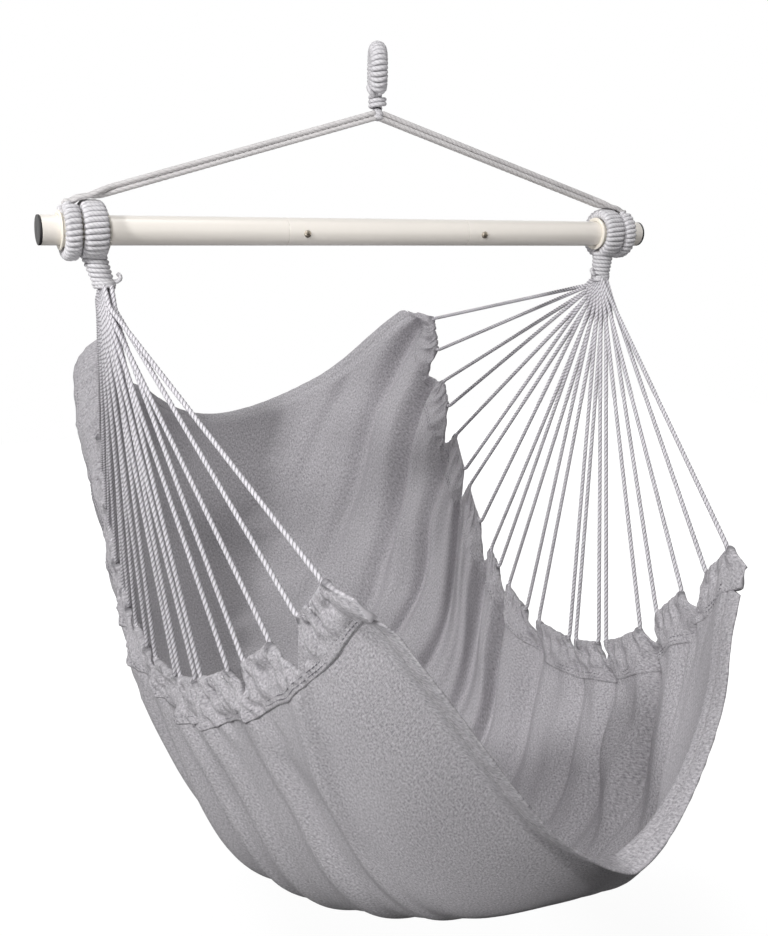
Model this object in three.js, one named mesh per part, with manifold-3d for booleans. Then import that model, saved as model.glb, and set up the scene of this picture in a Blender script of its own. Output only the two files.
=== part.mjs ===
// Hanging hammock chair: a rope loop, two rope legs, a three piece tube bar, and a cloth seat on two fans of cords.
// Lengths are in millimetres and angles in degrees. +Z is up, +X runs along the bar, the sitter faces -Y.
// The origin is where the loop bears on its hook, on the inner face of the loop's crown.
import * as THREE from "three";
import { mergeVertices } from "three/addons/utils/BufferGeometryUtils.js";
import Module from "manifold-3d";

const wasm = await Module();
wasm.setup();

// Clearances that all pieces share
const fitGap = 0.3;
const cutOverrun = 1;

// Spreader bar: a left, a middle and a right tube
const barLength = 800;
const barDiameter = 32;
const barWall = 1.6;
const barDrop = 198;
const seamPlace = 121;
const spigotLength = 45;
const barTurn = 10;
const capThickness = 3;
const capChamfer = 1;
const plugLength = 16;
const plugWall = 2;
const screwPastSeam = 22;
const screwHeadDiameter = 8.5;
const screwHeadHeight = 2.4;
const screwShankDiameter = 4;
const screwLength = 8;
const screwHoleClearance = 0.4;

// Ropes: the long cords, and the thinner cord that is wound round the rings
const cordDiameter = 5.6;
const cordSpacing = 5.95;
const whippingDiameter = 4.8;
const whippingClearance = 0.5;

// Sleeves between the bar and the rope rings
const linerWall = 1.5;
const linerFlangeHeight = 3.2;
const linerFlangeThickness = 1.6;
const linerSideClearance = 1;

// Rope rings round the bar: a neck ring carries the seat, a leg ring hangs the bar
const neckRingFromEnd = 57;
const neckRingWidth = 27;
const legRingWidth = 18;
const ringSpacing = 1.3;
const ringCoreDepth = 3.2;
const ringTurns = 14;
const legRingTurns = 13;
const neckRingOpenAngle = 27;
const legRingOpenAngle = 31;

// Necks under the neck rings, where the cords start as a fan
const neckDrop = 64;
const leftNeckInset = 12;
const rightNeckInset = 4;
const neckTopDiameter = 17;
const neckBottomDiameter = 12;
const neckWindingTop = 36;
const neckTurns = 4;
const neckPitch = 5.6;
const fanRadius = 30;
const fanStartClearance = 0.95;
const fanSpareAngle = 5;
const tailLength = 9;

// Loop at the top, and the ball of rope where the legs turn
const loopRadius = 22;
const loopCoreDiameter = 10;
const loopTurns = 13;
const loopOpenAngle = 33;
const loopYaw = -22;
const stemBottom = 53;
const throatTurns = 2;
const throatPitch = 5.3;
const apexBallDiameter = 17;

// Legs: four strands each, from the apex over the neck ring to the top of the leg ring
const legBendPastEdge = 3;
const legTurnLength = 14;
const legFallAfter = 3;
const legOverRing = 0.7;
const legEndPastCore = 1.5;

// Places of a leg's strands at its seven stations, in cord spacings across and above the leg's line
const lowerStrandShares = Array(7).fill([0.5, 0]);
const upperStrandShares = [[0.5, 1], [0.5, 1], [1.3, 0.8], ...Array(4).fill([1.5, 0])];
const legTopStation = 3;

// Seat: each side hem lies on an arc round its neck, at the end of its cords
const cordReach = 450;
const rightReachShares = [0.911, 0.911, 0.936, 1.008, 1.088, 1.101, 1.075, 1.025, 1.056];
const leftReachShares = [0.883, 0.888, 0.901, 0.938, 0.978, 0.981, 0.966, 0.973, 0.998];
const rightHem = { backAngle: 79.8, frontAngle: 53.9, lean: [4.5, 5.9, 13.1] };
const leftHem = { backAngle: 77.9, frontAngle: 55.9, lean: [12.4, 5.5, 12.1] };
const seatSag = 300;
const sagShares = [0.984, 0.843, 0.952, 0.911, 1];
const sagTilt = [53, -16, -27, -41, -10];
const sagFullnessShares = [2.09, 4.74, 1.67];
const sagSkewShares = [-0.04, -0.109, 0.082];

// The cloth turns out beyond its side hems near the back corners: direction, and amount from back to front
const turnReach = 50;
const turnRise = 52;
const turnFall = 230;
const leftTurnShares = [-1, 0.36, -0.36];
const leftTurnAmountShares = [1, 0.2, 0, 0, 0];
const rightTurnShares = [0.16, 0.16, 0.52];
const rightTurnAmountShares = [1, 0.1, 0, 0, 0.1];

// Places of the 22 cord ends along a side hem, from back to front
const cordEndShares = [
  0, 0.057, 0.114, 0.161, 0.214, 0.277, 0.305, 0.368, 0.413, 0.445, 0.478,
  0.53, 0.561, 0.634, 0.648, 0.699, 0.715, 0.791, 0.83, 0.891, 0.947, 1,
];
const hemEndShare = 0.016;
const cornerDroop = 32;

// Cloth
const clothThickness = 1.6;
const hemDepth = 48;
const hemThickness = 4.6;
const tunnelWall = 1.9;
const notchDepth = 13;
const edgeHemWidth = 9;
const edgeHemThickness = 3;
const foldHeight = 9;
const foldRise = 60;
const foldReachShare = 0.42;
const cordBendRadius = 9;

// Counts of facets
const roundSegments = 20;
const ringSegments = 20;
const cordSides = 5;
const whippingSides = 4;
const whippingSteps = 8;
const clothColumns = 12;
const foldSteps = 4;

// Colours
const ropeColour = 0xc6c5cc;
const clothColour = 0xb9b7bb;
const barColour = 0xeae3d9;
const blackColour = 0x1b1b1d;
const steelColour = 0xa9a49c;

// Sizes that follow from the ones above
const barRadius = barDiameter / 2;
const boreRadius = barRadius - barWall;
const spigotRadius = boreRadius - fitGap;
const cordRadius = cordDiameter / 2;
const whippingRadius = whippingDiameter / 2;
const linerInner = barRadius + fitGap;
const linerOuter = linerInner + linerWall;
const ringCoreInner = linerOuter + fitGap + whippingDiameter + whippingClearance;
const ringCoreOuter = ringCoreInner + ringCoreDepth;
const ringRadius = (ringCoreInner + ringCoreOuter) / 2;
const ringOuter = ringCoreOuter + whippingClearance + whippingDiameter;
const neckRingPlace = barLength / 2 - neckRingFromEnd;
const legRingPlace = neckRingPlace + neckRingWidth / 2 + ringSpacing + legRingWidth / 2;
const windingOffset = whippingClearance + whippingRadius;
const loopLimbRadius = loopCoreDiameter / 2 + windingOffset + whippingRadius;
const loopCentre = loopLimbRadius - loopRadius;
const apexDrop = stemBottom + fitGap + apexBallDiameter / 2;
const hemHalf = hemThickness / 2;
const tunnelHalf = cordRadius + fitGap + tunnelWall;
const loopCount = cordEndShares.length / 2;

const radians = THREE.MathUtils.degToRad;
const vector = (x, y, z) => new THREE.Vector3(x, y, z);

// Materials
function standard(name, color, roughness, metalness) {
  return new THREE.MeshStandardMaterial({ name, color, roughness, metalness });
}

const rope = () => standard("rope", ropeColour, 0.9, 0);
const cloth = () => standard("cloth", clothColour, 0.95, 0);
const enamel = () => standard("enamel", barColour, 0.4, 0.1);
const black = () => standard("black", blackColour, 0.6, 0);
const sleeve = () => standard("sleeve", barColour, 0.55, 0);
const steel = () => standard("steel", steelColour, 0.35, 1);

// Closed indexed surface with its faces turned outwards
function closedSurface(positions, triangles) {
  const corner = (index) => vector(...positions.slice(index * 3, index * 3 + 3));
  let volume = 0;
  for (let i = 0; i < triangles.length; i += 3) {
    const [a, b, c] = [corner(triangles[i]), corner(triangles[i + 1]), corner(triangles[i + 2])];
    volume += a.dot(b.cross(c));
  }
  const outward = volume < 0 ? [...triangles].reverse() : triangles;
  const surface = new THREE.BufferGeometry();
  surface.setAttribute("position", new THREE.Float32BufferAttribute(positions, 3));
  surface.setIndex(outward);
  return surface;
}

// Solid and back again, for joins and cuts
function solidOf(surface) {
  const bare = surface.clone();
  bare.deleteAttribute("normal");
  bare.deleteAttribute("uv");
  const merged = mergeVertices(bare, 1e-3);
  return new wasm.Manifold(
    new wasm.Mesh({
      numProp: 3,
      vertProperties: new Float32Array(merged.attributes.position.array),
      triVerts: new Uint32Array(merged.index.array),
    }),
  );
}

function surfaceOf(solid) {
  const mesh = solid.getMesh();
  const surface = new THREE.BufferGeometry();
  surface.setAttribute("position", new THREE.Float32BufferAttribute(mesh.vertProperties, 3));
  surface.setIndex([...mesh.triVerts]);
  return surface;
}

const joined = (first, ...others) =>
  surfaceOf(others.reduce((whole, other) => whole.add(solidOf(other)), solidOf(first)));
const cut = (first, ...cutters) =>
  surfaceOf(cutters.reduce((whole, cutter) => whole.subtract(solidOf(cutter)), solidOf(first)));

// Round rod along a line of centre points, square at both ends
function rod(points, radius, sides) {
  const steps = points.slice(1).map((point, i) => point.clone().sub(points[i]).normalize());
  const tangents = points.map((_, i) => {
    const before = steps[Math.max(i - 1, 0)];
    const after = steps[Math.min(i, steps.length - 1)];
    return before.clone().add(after).normalize();
  });
  const helper = Math.abs(tangents[0].z) < 0.9 ? vector(0, 0, 1) : vector(0, 1, 0);
  let normal = helper.cross(tangents[0]).normalize();
  const positions = [];
  points.forEach((point, i) => {
    if (i > 0) {
      const turn = new THREE.Quaternion().setFromUnitVectors(tangents[i - 1], tangents[i]);
      normal = normal.clone().applyQuaternion(turn);
    }
    const side = tangents[i].clone().cross(normal);
    for (let k = 0; k < sides; k++) {
      const angle = (2 * Math.PI * k) / sides;
      const arm = normal.clone().multiplyScalar(Math.cos(angle)).addScaledVector(side, Math.sin(angle));
      positions.push(...point.clone().addScaledVector(arm, radius).toArray());
    }
  });
  const triangles = [];
  for (let i = 0; i + 1 < points.length; i++) {
    for (let k = 0; k < sides; k++) {
      const next = (k + 1) % sides;
      const [a, b] = [i * sides + k, i * sides + next];
      triangles.push(a, b, b + sides, a, b + sides, a + sides);
    }
  }
  const last = (points.length - 1) * sides;
  for (let k = 1; k + 1 < sides; k++) {
    triangles.push(0, k + 1, k, last, last + k, last + k + 1);
  }
  return closedSurface(positions, triangles);
}

// Body between two grids of points, closed round its rim
function plate(front, back) {
  const rows = front.length;
  const columns = front[0].length;
  const positions = [...front.flat(), ...back.flat()].flatMap((point) => point.toArray());
  const at = (side, i, j) => side * rows * columns + i * columns + j;
  const triangles = [];
  const quad = (a, b, c, d) => triangles.push(a, b, c, a, c, d);
  for (let i = 0; i + 1 < rows; i++) {
    for (let j = 0; j + 1 < columns; j++) {
      quad(at(0, i, j), at(0, i, j + 1), at(0, i + 1, j + 1), at(0, i + 1, j));
      quad(at(1, i, j), at(1, i + 1, j), at(1, i + 1, j + 1), at(1, i, j + 1));
    }
    quad(at(0, i, 0), at(0, i + 1, 0), at(1, i + 1, 0), at(1, i, 0));
    quad(at(0, i, columns - 1), at(1, i, columns - 1), at(1, i + 1, columns - 1), at(0, i + 1, columns - 1));
  }
  for (let j = 0; j + 1 < columns; j++) {
    quad(at(0, 0, j), at(1, 0, j), at(1, 0, j + 1), at(0, 0, j + 1));
    quad(at(0, rows - 1, j), at(0, rows - 1, j + 1), at(1, rows - 1, j + 1), at(1, rows - 1, j));
  }
  return closedSurface(positions, triangles);
}

// Ring, tube or disc turned about the X axis from a closed outline of [radius, place along X]
function turned(outline, segments) {
  const points = [...outline, outline[0]].map(([radius, along]) => new THREE.Vector2(radius, along));
  return facingOut(new THREE.LatheGeometry(points, segments).rotateZ(-Math.PI / 2));
}

function facingOut(surface) {
  surface.deleteAttribute("normal");
  surface.deleteAttribute("uv");
  const merged = mergeVertices(surface, 1e-3);
  return closedSurface([...merged.attributes.position.array], [...merged.index.array]);
}

// Eight corners of an oblong section with its corners cut, half sizes given
function oblong(halfDeep, halfWide, corner) {
  const deep = halfDeep - corner;
  const wide = halfWide - corner;
  return [
    [halfDeep, -wide], [halfDeep, wide], [deep, halfWide], [-deep, halfWide],
    [-halfDeep, wide], [-halfDeep, -wide], [-deep, -halfWide], [deep, -halfWide],
  ];
}

// Sections of a ring's core and of the winding round it, one windingOffset apart
const cornerCutShare = 2 - Math.SQRT2;
const cornerLoss = windingOffset * cornerCutShare;

function ringSections(coreDeep, width) {
  const halfDeep = coreDeep / 2 + windingOffset;
  const halfWide = width / 2 - whippingRadius;
  const corner = windingOffset;
  return {
    winding: oblong(halfDeep, halfWide, corner),
    core: oblong(halfDeep - windingOffset, halfWide - windingOffset, corner - cornerLoss),
  };
}

const neckSections = ringSections(ringCoreDepth, neckRingWidth);
const legSections = ringSections(ringCoreDepth, legRingWidth);
const evenSection = (half) => oblong(half, half, half * cornerCutShare);
const loopSections = {
  winding: evenSection(loopLimbRadius - whippingRadius),
  core: evenSection(loopCoreDiameter / 2),
};

// Ring core about the X axis
function ringCore(radius, section) {
  return turned(section.map(([deep, wide]) => [radius + deep, wide]), ringSegments);
}

// One unbroken cord wound round a ring that lies about the X axis, open at one angle from the top
function ringWinding(name, radius, section, turns, openAt, openAngle) {
  const count = turns * whippingSteps;
  const points = [];
  for (let i = 0; i <= count; i++) {
    const around = radians(openAt + openAngle + ((360 - 2 * openAngle) * i) / count);
    const [deep, wide] = section[i % section.length];
    const reach = radius + deep;
    points.push(vector(wide, reach * Math.sin(around), reach * Math.cos(around)));
  }
  reportGap(name, points);
  return rod(points, whippingRadius, whippingSides);
}

// Cord wound round an upright stem from the top down, its end standing off as a short tail
function stemWinding(name, top, topRadius, bottomRadius, turns, pitch, tail) {
  const count = turns * whippingSteps;
  const points = [];
  for (let i = 0; i <= count; i++) {
    const share = i / count;
    const around = (2 * Math.PI * i) / whippingSteps;
    const reach = THREE.MathUtils.lerp(topRadius, bottomRadius, share) / Math.cos(Math.PI / whippingSteps);
    points.push(vector(reach * Math.cos(around), reach * Math.sin(around), top - pitch * turns * share));
  }
  const end = points[points.length - 1];
  const outward = vector(end.x, end.y, 0).normalize();
  const ahead = vector(-outward.y, outward.x, 0);
  points.push(end.clone().addScaledVector(ahead, tail / 2).addScaledVector(outward, tail / 4));
  points.push(end.clone().addScaledVector(ahead, tail).addScaledVector(outward, tail));
  reportGap(name, points);
  return rod(points, whippingRadius, whippingSides);
}

// Least clear distance between a winding's turns, measured on points along its line
function reportGap(name, points) {
  const places = [];
  points.slice(1).forEach((point, i) => {
    for (const share of [0, 0.25, 0.5, 0.75]) places.push(points[i].clone().lerp(point, share));
  });
  const apart = whippingSteps * 2;
  let least = Infinity;
  places.forEach((place, i) => {
    for (let k = i + apart; k < places.length; k++) least = Math.min(least, place.distanceTo(places[k]));
  });
  console.log(name + " least gap to itself " + (least - whippingDiameter).toFixed(2) + " mm");
}

// Scene graph
const chair = new THREE.Group();
chair.name = "hammock_chair";

function place(parent, name, surface, material) {
  const mesh = new THREE.Mesh(surface, material);
  mesh.name = name;
  parent.add(mesh);
  return mesh;
}

function groupAt(x, y, z) {
  const group = new THREE.Group();
  group.position.set(x, y, z);
  chair.add(group);
  return group;
}

const sides = [
  {
    name: "left", sign: -1, hem: leftHem, neckInset: leftNeckInset, reachShares: leftReachShares,
    turnShares: leftTurnShares, turnAmountShares: leftTurnAmountShares,
  },
  {
    name: "right", sign: 1, hem: rightHem, neckInset: rightNeckInset, reachShares: rightReachShares,
    turnShares: rightTurnShares, turnAmountShares: rightTurnAmountShares,
  },
];

// Top loop: a core ring with a stem below it, and its winding
function stemCone(topRadius, bottomRadius, height) {
  const cone = new THREE.CylinderGeometry(topRadius, bottomRadius, height, whippingSteps * 2);
  return cone.rotateX(Math.PI / 2);
}

function addTopLoop() {
  const loop = groupAt(0, 0, loopCentre);
  loop.rotation.z = radians(loopYaw);
  const stemHeight = loopCentre + stemBottom - loopRadius;
  const stem = stemCone(loopCoreDiameter / 2, loopCoreDiameter / 2, stemHeight);
  stem.translate(0, 0, -loopRadius - stemHeight / 2);
  place(loop, "top_loop_core", joined(ringCore(loopRadius, loopSections.core), stem), rope());
  const winding = ringWinding("top_loop_winding", loopRadius, loopSections.winding, loopTurns, 180, loopOpenAngle);
  place(loop, "top_loop_winding", winding, rope());
}

// Throat: the cord seized round the loop's stem, with its tail
function addThroat() {
  const reach = loopCoreDiameter / 2 + windingOffset;
  const height = throatPitch * throatTurns;
  const top = -stemBottom + height + whippingRadius;
  const winding = stemWinding("throat_winding", top, reach, reach, throatTurns, throatPitch, tailLength);
  const mesh = place(chair, "throat_winding", winding, rope());
  mesh.rotation.z = radians(180 + loopYaw);
}

// Apex ball and the four strands of each leg
function addApex() {
  const ball = new THREE.SphereGeometry(apexBallDiameter / 2, 12, 8);
  place(groupAt(0, 0, -apexDrop), "apex_ball", facingOut(ball), rope());
}

// Line beside a line in the XZ plane, at its own distance above each point
function lineAbove(points, distances) {
  const above = (from, to) => vector(from.z - to.z, 0, to.x - from.x).normalize();
  return points.map((point, i) => {
    const before = above(points[Math.max(i - 1, 0)], points[Math.max(i, 1)]);
    const after = above(points[Math.min(i, points.length - 2)], points[Math.min(i + 1, points.length - 1)]);
    const way = before.clone().add(after).normalize();
    return point.clone().addScaledVector(way, distances[i] / way.dot(before));
  });
}

// Line that a leg's lower strands follow, with their heights over the bar's middle
function legLine() {
  const seat = ringCoreOuter + fitGap + cordRadius;
  const crest = ringOuter + cordRadius + legOverRing;
  const coreHalf = legRingWidth / 2 - whippingRadius - windingOffset;
  const neckEdge = neckRingPlace + neckRingWidth / 2;
  const bend = vector(neckEdge - neckRingWidth + legBendPastEdge, 0, crest);
  const start = vector(0, 0, barDrop - apexDrop);
  const along = bend.clone().sub(start).normalize();
  const over = vector(-along.z, 0, along.x);
  const begin = start.clone().addScaledVector(along, apexBallDiameter / 2 + fitGap);
  return [
    begin.addScaledVector(over, -cordSpacing / 2),
    bend.clone().addScaledVector(along, -legTurnLength),
    bend,
    vector(bend.x + legTurnLength, 0, crest),
    vector(neckEdge + legFallAfter, 0, (crest + seat) / 2 + cordRadius / 2),
    vector(legRingPlace - coreHalf, 0, seat),
    vector(legRingPlace + coreHalf + legEndPastCore, 0, seat),
  ];
}

function strandPoints(sign, across, shares) {
  const line = lineAbove(legLine(), shares.map(([, above]) => above * cordSpacing));
  return line.map((point, i) => {
    const aside = shares[i][0] * cordSpacing;
    const height = i < legTopStation ? point.z : Math.sqrt(point.z ** 2 - aside ** 2);
    return vector(sign * point.x, across * aside, height - barDrop);
  });
}

function addLegs() {
  for (const { name, sign } of sides) {
    let number = 1;
    for (const shares of [lowerStrandShares, upperStrandShares]) {
      for (const across of [-1, 1]) {
        const strand = rod(strandPoints(sign, across, shares), cordRadius, cordSides + 1);
        place(chair, "leg_" + name + "_strand_" + number, strand, rope());
        number += 1;
      }
    }
    const ring = groupAt(sign * legRingPlace, 0, -barDrop);
    const label = "leg_" + name + "_ring";
    place(ring, label + "_core", ringCore(ringRadius, legSections.core), rope());
    const winding = ringWinding(label + "_winding", ringRadius, legSections.winding, legRingTurns, 0, legRingOpenAngle);
    place(ring, label + "_winding", winding, rope());
    addLiner(name, sign);
  }
}

// Sleeve on the bar with a flange at each end, outside both rings
function addLiner(name, sign) {
  const inner = neckRingPlace - neckRingWidth / 2 - linerSideClearance;
  const outer = legRingPlace + legRingWidth / 2 + linerSideClearance;
  const flange = linerOuter + linerFlangeHeight;
  const outline = [
    [linerInner, inner - linerFlangeThickness], [flange, inner - linerFlangeThickness], [flange, inner],
    [linerOuter, inner], [linerOuter, outer], [flange, outer],
    [flange, outer + linerFlangeThickness], [linerInner, outer + linerFlangeThickness],
  ];
  const liner = turned(outline.map(([radius, along]) => [radius, sign * along]), roundSegments);
  place(groupAt(0, 0, -barDrop), "liner_" + name, liner, sleeve());
}

// Spreader bar tubes, with the narrowed end of one inside the next
function tubeOutline(from, to, hasSpigot) {
  if (!hasSpigot) return [[boreRadius, from], [barRadius, from], [barRadius, to], [boreRadius, to]];
  const spigotBore = spigotRadius - barWall;
  return [
    [boreRadius, from], [barRadius, from], [barRadius, to], [spigotRadius, to],
    [spigotRadius, to + spigotLength], [spigotBore, to + spigotLength],
    [spigotBore, to - barWall], [boreRadius, to - barWall * 2],
  ];
}

function screwHole(along) {
  const radius = screwShankDiameter / 2 + screwHoleClearance;
  const length = screwLength + cutOverrun;
  const hole = new THREE.CylinderGeometry(radius, radius, length, roundSegments / 2);
  return hole.translate(along, -barRadius + length / 2 - cutOverrun, 0);
}

function addBar() {
  const bar = groupAt(0, 0, -barDrop);
  bar.rotation.x = radians(barTurn);
  const half = barLength / 2 - capThickness;
  const seams = [-half, -seamPlace, seamPlace, half];
  ["left", "middle", "right"].forEach((name, i) => {
    const from = seams[i] + (i === 0 ? 0 : fitGap);
    const holes = [];
    if (i > 0) holes.push(screwHole(seams[i] + screwPastSeam));
    if (i < 2) holes.push(screwHole(seams[i + 1] + screwPastSeam));
    const tube = turned(tubeOutline(from, seams[i + 1], i < 2), roundSegments);
    place(bar, "bar_tube_" + name, cut(tube, ...holes), enamel());
  });
  for (const { name, sign } of sides) {
    addCap(bar, name, sign * half, sign);
  }
  addScrew(bar, "left", -seamPlace + screwPastSeam);
  addScrew(bar, "right", seamPlace + screwPastSeam);
}

function addCap(bar, name, face, sign) {
  const plug = boreRadius - fitGap;
  const seat = face + sign * fitGap;
  const end = face + sign * capThickness;
  const outline = [
    [0, end], [barRadius - capChamfer, end], [barRadius, end - sign * capChamfer], [barRadius, seat],
    [plug, seat], [plug, face - sign * plugLength], [plug - plugWall, face - sign * plugLength],
    [plug - plugWall, seat], [0, seat],
  ];
  const points = outline.map(([radius, along]) => new THREE.Vector2(radius, along));
  const cap = new THREE.LatheGeometry(points, roundSegments).rotateZ(-Math.PI / 2);
  place(bar, "end_cap_" + name, facingOut(cap), black());
}

function addScrew(bar, name, along) {
  const head = screwHeadDiameter / 2;
  const shank = screwShankDiameter / 2;
  const outline = [
    [0, screwHeadHeight], [head / 2, screwHeadHeight], [head, screwHeadHeight / 3], [head, 0],
    [shank, 0], [shank, shank - screwLength], [0, -screwLength],
  ];
  const points = outline.map(([radius, height]) => new THREE.Vector2(radius, height));
  const screw = new THREE.LatheGeometry(points, roundSegments / 2).rotateX(Math.PI);
  const mesh = place(bar, "joint_screw_" + name, facingOut(screw), steel());
  mesh.position.set(along, -barRadius - fitGap, 0);
}

// Values between hand set stations
function quadratic([start, middle, end], share) {
  return start * (1 - share) * (1 - 2 * share) + middle * 4 * share * (1 - share) + end * share * (2 * share - 1);
}

function smooth(values, share) {
  const stations = values.map((value, i) => new THREE.Vector2(i / (values.length - 1), value));
  return new THREE.SplineCurve(stations).getPoint(THREE.MathUtils.clamp(share, 0, 1)).y;
}

// Neck point that a side's cords fan out from
const neckPoint = ({ sign, neckInset }) => vector(sign * (neckRingPlace - neckInset), 0, -barDrop - neckDrop);

const fanAngle = (hem, share) => THREE.MathUtils.lerp(-hem.backAngle, hem.frontAngle, share);

// Line of the cord tunnel in a side hem
function hemPoint(side, share) {
  const { sign, hem, reachShares } = side;
  const angle = radians(fanAngle(hem, share));
  const lean = radians(quadratic(hem.lean, share));
  const past = Math.max(-share, share - 1, 0) / hemEndShare;
  const reach = cordReach * smooth(reachShares, share) + cornerDroop * past;
  const down = reach * Math.cos(lean);
  return neckPoint(side).add(
    vector(-sign * reach * Math.sin(lean), -down * Math.sin(angle), -down * Math.cos(angle)),
  );
}

// Bare surface of the seat: share runs from back to front, across from left to right
function seatSurface(share, across) {
  const left = hemPoint(sides[0], share);
  const right = hemPoint(sides[1], share);
  const tilt = radians(smooth(sagTilt, share));
  const fullness = quadratic(sagFullnessShares, share);
  const depth = seatSag * smooth(sagShares, share) * (1 - Math.abs(2 * across - 1) ** fullness);
  const along = across + quadratic(sagSkewShares, share) * Math.sin(Math.PI * across);
  return left.lerp(right, along).add(vector(0, depth * Math.sin(tilt), -depth * Math.cos(tilt)));
}

// Section of the seat at one share, measured along the cloth from the left hem
const sectionSteps = 80;
const sections = new Map();

function sectionAt(share) {
  if (!sections.has(share)) {
    const points = [];
    const lengths = [0];
    for (let i = 0; i <= sectionSteps; i++) {
      points.push(seatSurface(share, i / sectionSteps));
      if (i > 0) lengths.push(lengths[i - 1] + points[i].distanceTo(points[i - 1]));
    }
    sections.set(share, { points, lengths, total: lengths[sectionSteps] });
  }
  return sections.get(share);
}

function bareClothPoint(share, distance) {
  const { points, lengths, total } = sectionAt(share);
  let i = 0;
  while (i + 2 < points.length && lengths[i + 1] < distance) i += 1;
  if (distance > total) i = points.length - 2;
  const part = (distance - lengths[i]) / (lengths[i + 1] - lengths[i]);
  return points[i].clone().lerp(points[i + 1], part);
}

// Outward direction of the cloth
const probeShare = 0.004;

function clothNormal(share, distance) {
  const probe = sectionAt(share).total * probeShare;
  const fore = bareClothPoint(share + probeShare, distance).sub(bareClothPoint(share - probeShare, distance));
  const side = bareClothPoint(share, distance + probe).sub(bareClothPoint(share, distance - probe));
  return side.cross(fore).normalize();
}

// Notches between the cord loops, and the fold that starts at each
const notchShares = [-hemEndShare];
for (let k = 1; k < loopCount; k++) {
  notchShares.push((cordEndShares[2 * k - 1] + cordEndShares[2 * k]) / 2);
}
notchShares.push(1 + hemEndShare);

function foldPhase(share) {
  const k = notchShares.findIndex((notch, i) => i > 0 && share <= notch) - 1;
  const loop = k < 0 ? loopCount - 1 : k;
  return (share - notchShares[loop]) / (notchShares[loop + 1] - notchShares[loop]);
}

// Move of the cloth beyond a side hem, at a distance from that hem
function turnOut({ turnShares, turnAmountShares }, share, distance) {
  const inward = Math.max(distance, 0);
  const rise = THREE.MathUtils.smoothstep(inward, 0, turnRise);
  const fall = 1 - THREE.MathUtils.smoothstep(inward, turnRise, turnFall);
  const amount = turnReach * rise * fall * smooth(turnAmountShares, share);
  return vector(...turnShares).multiplyScalar(amount);
}

function clothPoint(share, distance) {
  const { total } = sectionAt(share);
  const inward = Math.max(Math.min(distance, total - distance), 0);
  const rise = THREE.MathUtils.smoothstep(inward, 0, foldRise);
  const fall = 1 - THREE.MathUtils.smoothstep(inward, foldRise, total * foldReachShare);
  const height = foldHeight * rise * fall * Math.cos(2 * Math.PI * foldPhase(share));
  const point = bareClothPoint(share, distance);
  point.add(turnOut(sides[0], share, distance)).add(turnOut(sides[1], share, total - distance));
  return point.addScaledVector(clothNormal(share, distance), height);
}

// Cloth body over a grid of places: each row has a share, and its places have a distance and a half thickness
function clothBody(rows) {
  const front = [];
  const back = [];
  for (const { share, places } of rows) {
    const normals = places.map(({ distance }) => clothNormal(share, distance));
    const middles = places.map(({ distance }) => clothPoint(share, distance));
    const offset = (way) =>
      middles.map((middle, i) => middle.clone().addScaledVector(normals[i], way * places[i].half));
    front.push(offset(1));
    back.push(offset(-1));
  }
  return plate(front, back);
}

const panelInset = hemDepth + fitGap;

function panelPlaces(share, half) {
  const { total } = sectionAt(share);
  const width = total - 2 * panelInset;
  return Array.from({ length: clothColumns + 1 }, (_, j) => ({
    distance: panelInset + (width * j) / clothColumns,
    half,
  }));
}

// Share of the hem line that a length along it takes
const hemLineLength = (() => {
  let total = 0;
  const count = sectionSteps;
  for (let i = 0; i < count; i++) {
    total += hemPoint(sides[1], i / count).distanceTo(hemPoint(sides[1], (i + 1) / count));
  }
  return total;
})();
const asShare = (length) => length / hemLineLength;

// Rows that the panel and both side hems share, so that their edges run alike
function seatRows() {
  const inset = asShare(edgeHemWidth + fitGap);
  const rows = [{ share: notchShares[0] + inset, low: false }];
  for (let k = 0; k < loopCount; k++) {
    for (let i = k === 0 ? 1 : 0; i < foldSteps; i++) {
      const share = THREE.MathUtils.lerp(notchShares[k], notchShares[k + 1], i / foldSteps);
      rows.push({ share, low: i === 0 });
    }
  }
  rows.push({ share: notchShares[loopCount] - inset, low: false });
  return rows;
}

function addPanel() {
  const rows = seatRows().map(({ share }) => ({ share, places: panelPlaces(share, clothThickness / 2) }));
  place(chair, "seat_panel", clothBody(rows), cloth());
  addEdgeHem("back_hem", notchShares[0], notchShares[0] + asShare(edgeHemWidth));
  addEdgeHem("front_hem", notchShares[loopCount] - asShare(edgeHemWidth), notchShares[loopCount]);
}

function addEdgeHem(name, from, to) {
  const rows = [from, to].map((share) => ({ share, places: panelPlaces(share, edgeHemThickness / 2) }));
  place(chair, name, clothBody(rows), cloth());
}

// Side hem: full over each cord loop, low at the notch between two loops
const fullRows = [
  [-tunnelHalf, tunnelHalf / 2], [-tunnelHalf / 2, tunnelHalf], [tunnelHalf / 2, tunnelHalf],
  [notchDepth, hemHalf], [hemDepth, hemHalf],
];
const lowRows = [
  [notchDepth, hemHalf], [notchDepth + hemHalf, hemHalf], [notchDepth + 2 * hemHalf, hemHalf],
  [notchDepth + 3 * hemHalf, hemHalf], [hemDepth, hemHalf],
];

function hemRows() {
  const [first, last] = [notchShares[0], notchShares[loopCount]];
  return [{ share: first, low: true }, ...seatRows(), { share: last, low: true }];
}

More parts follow.
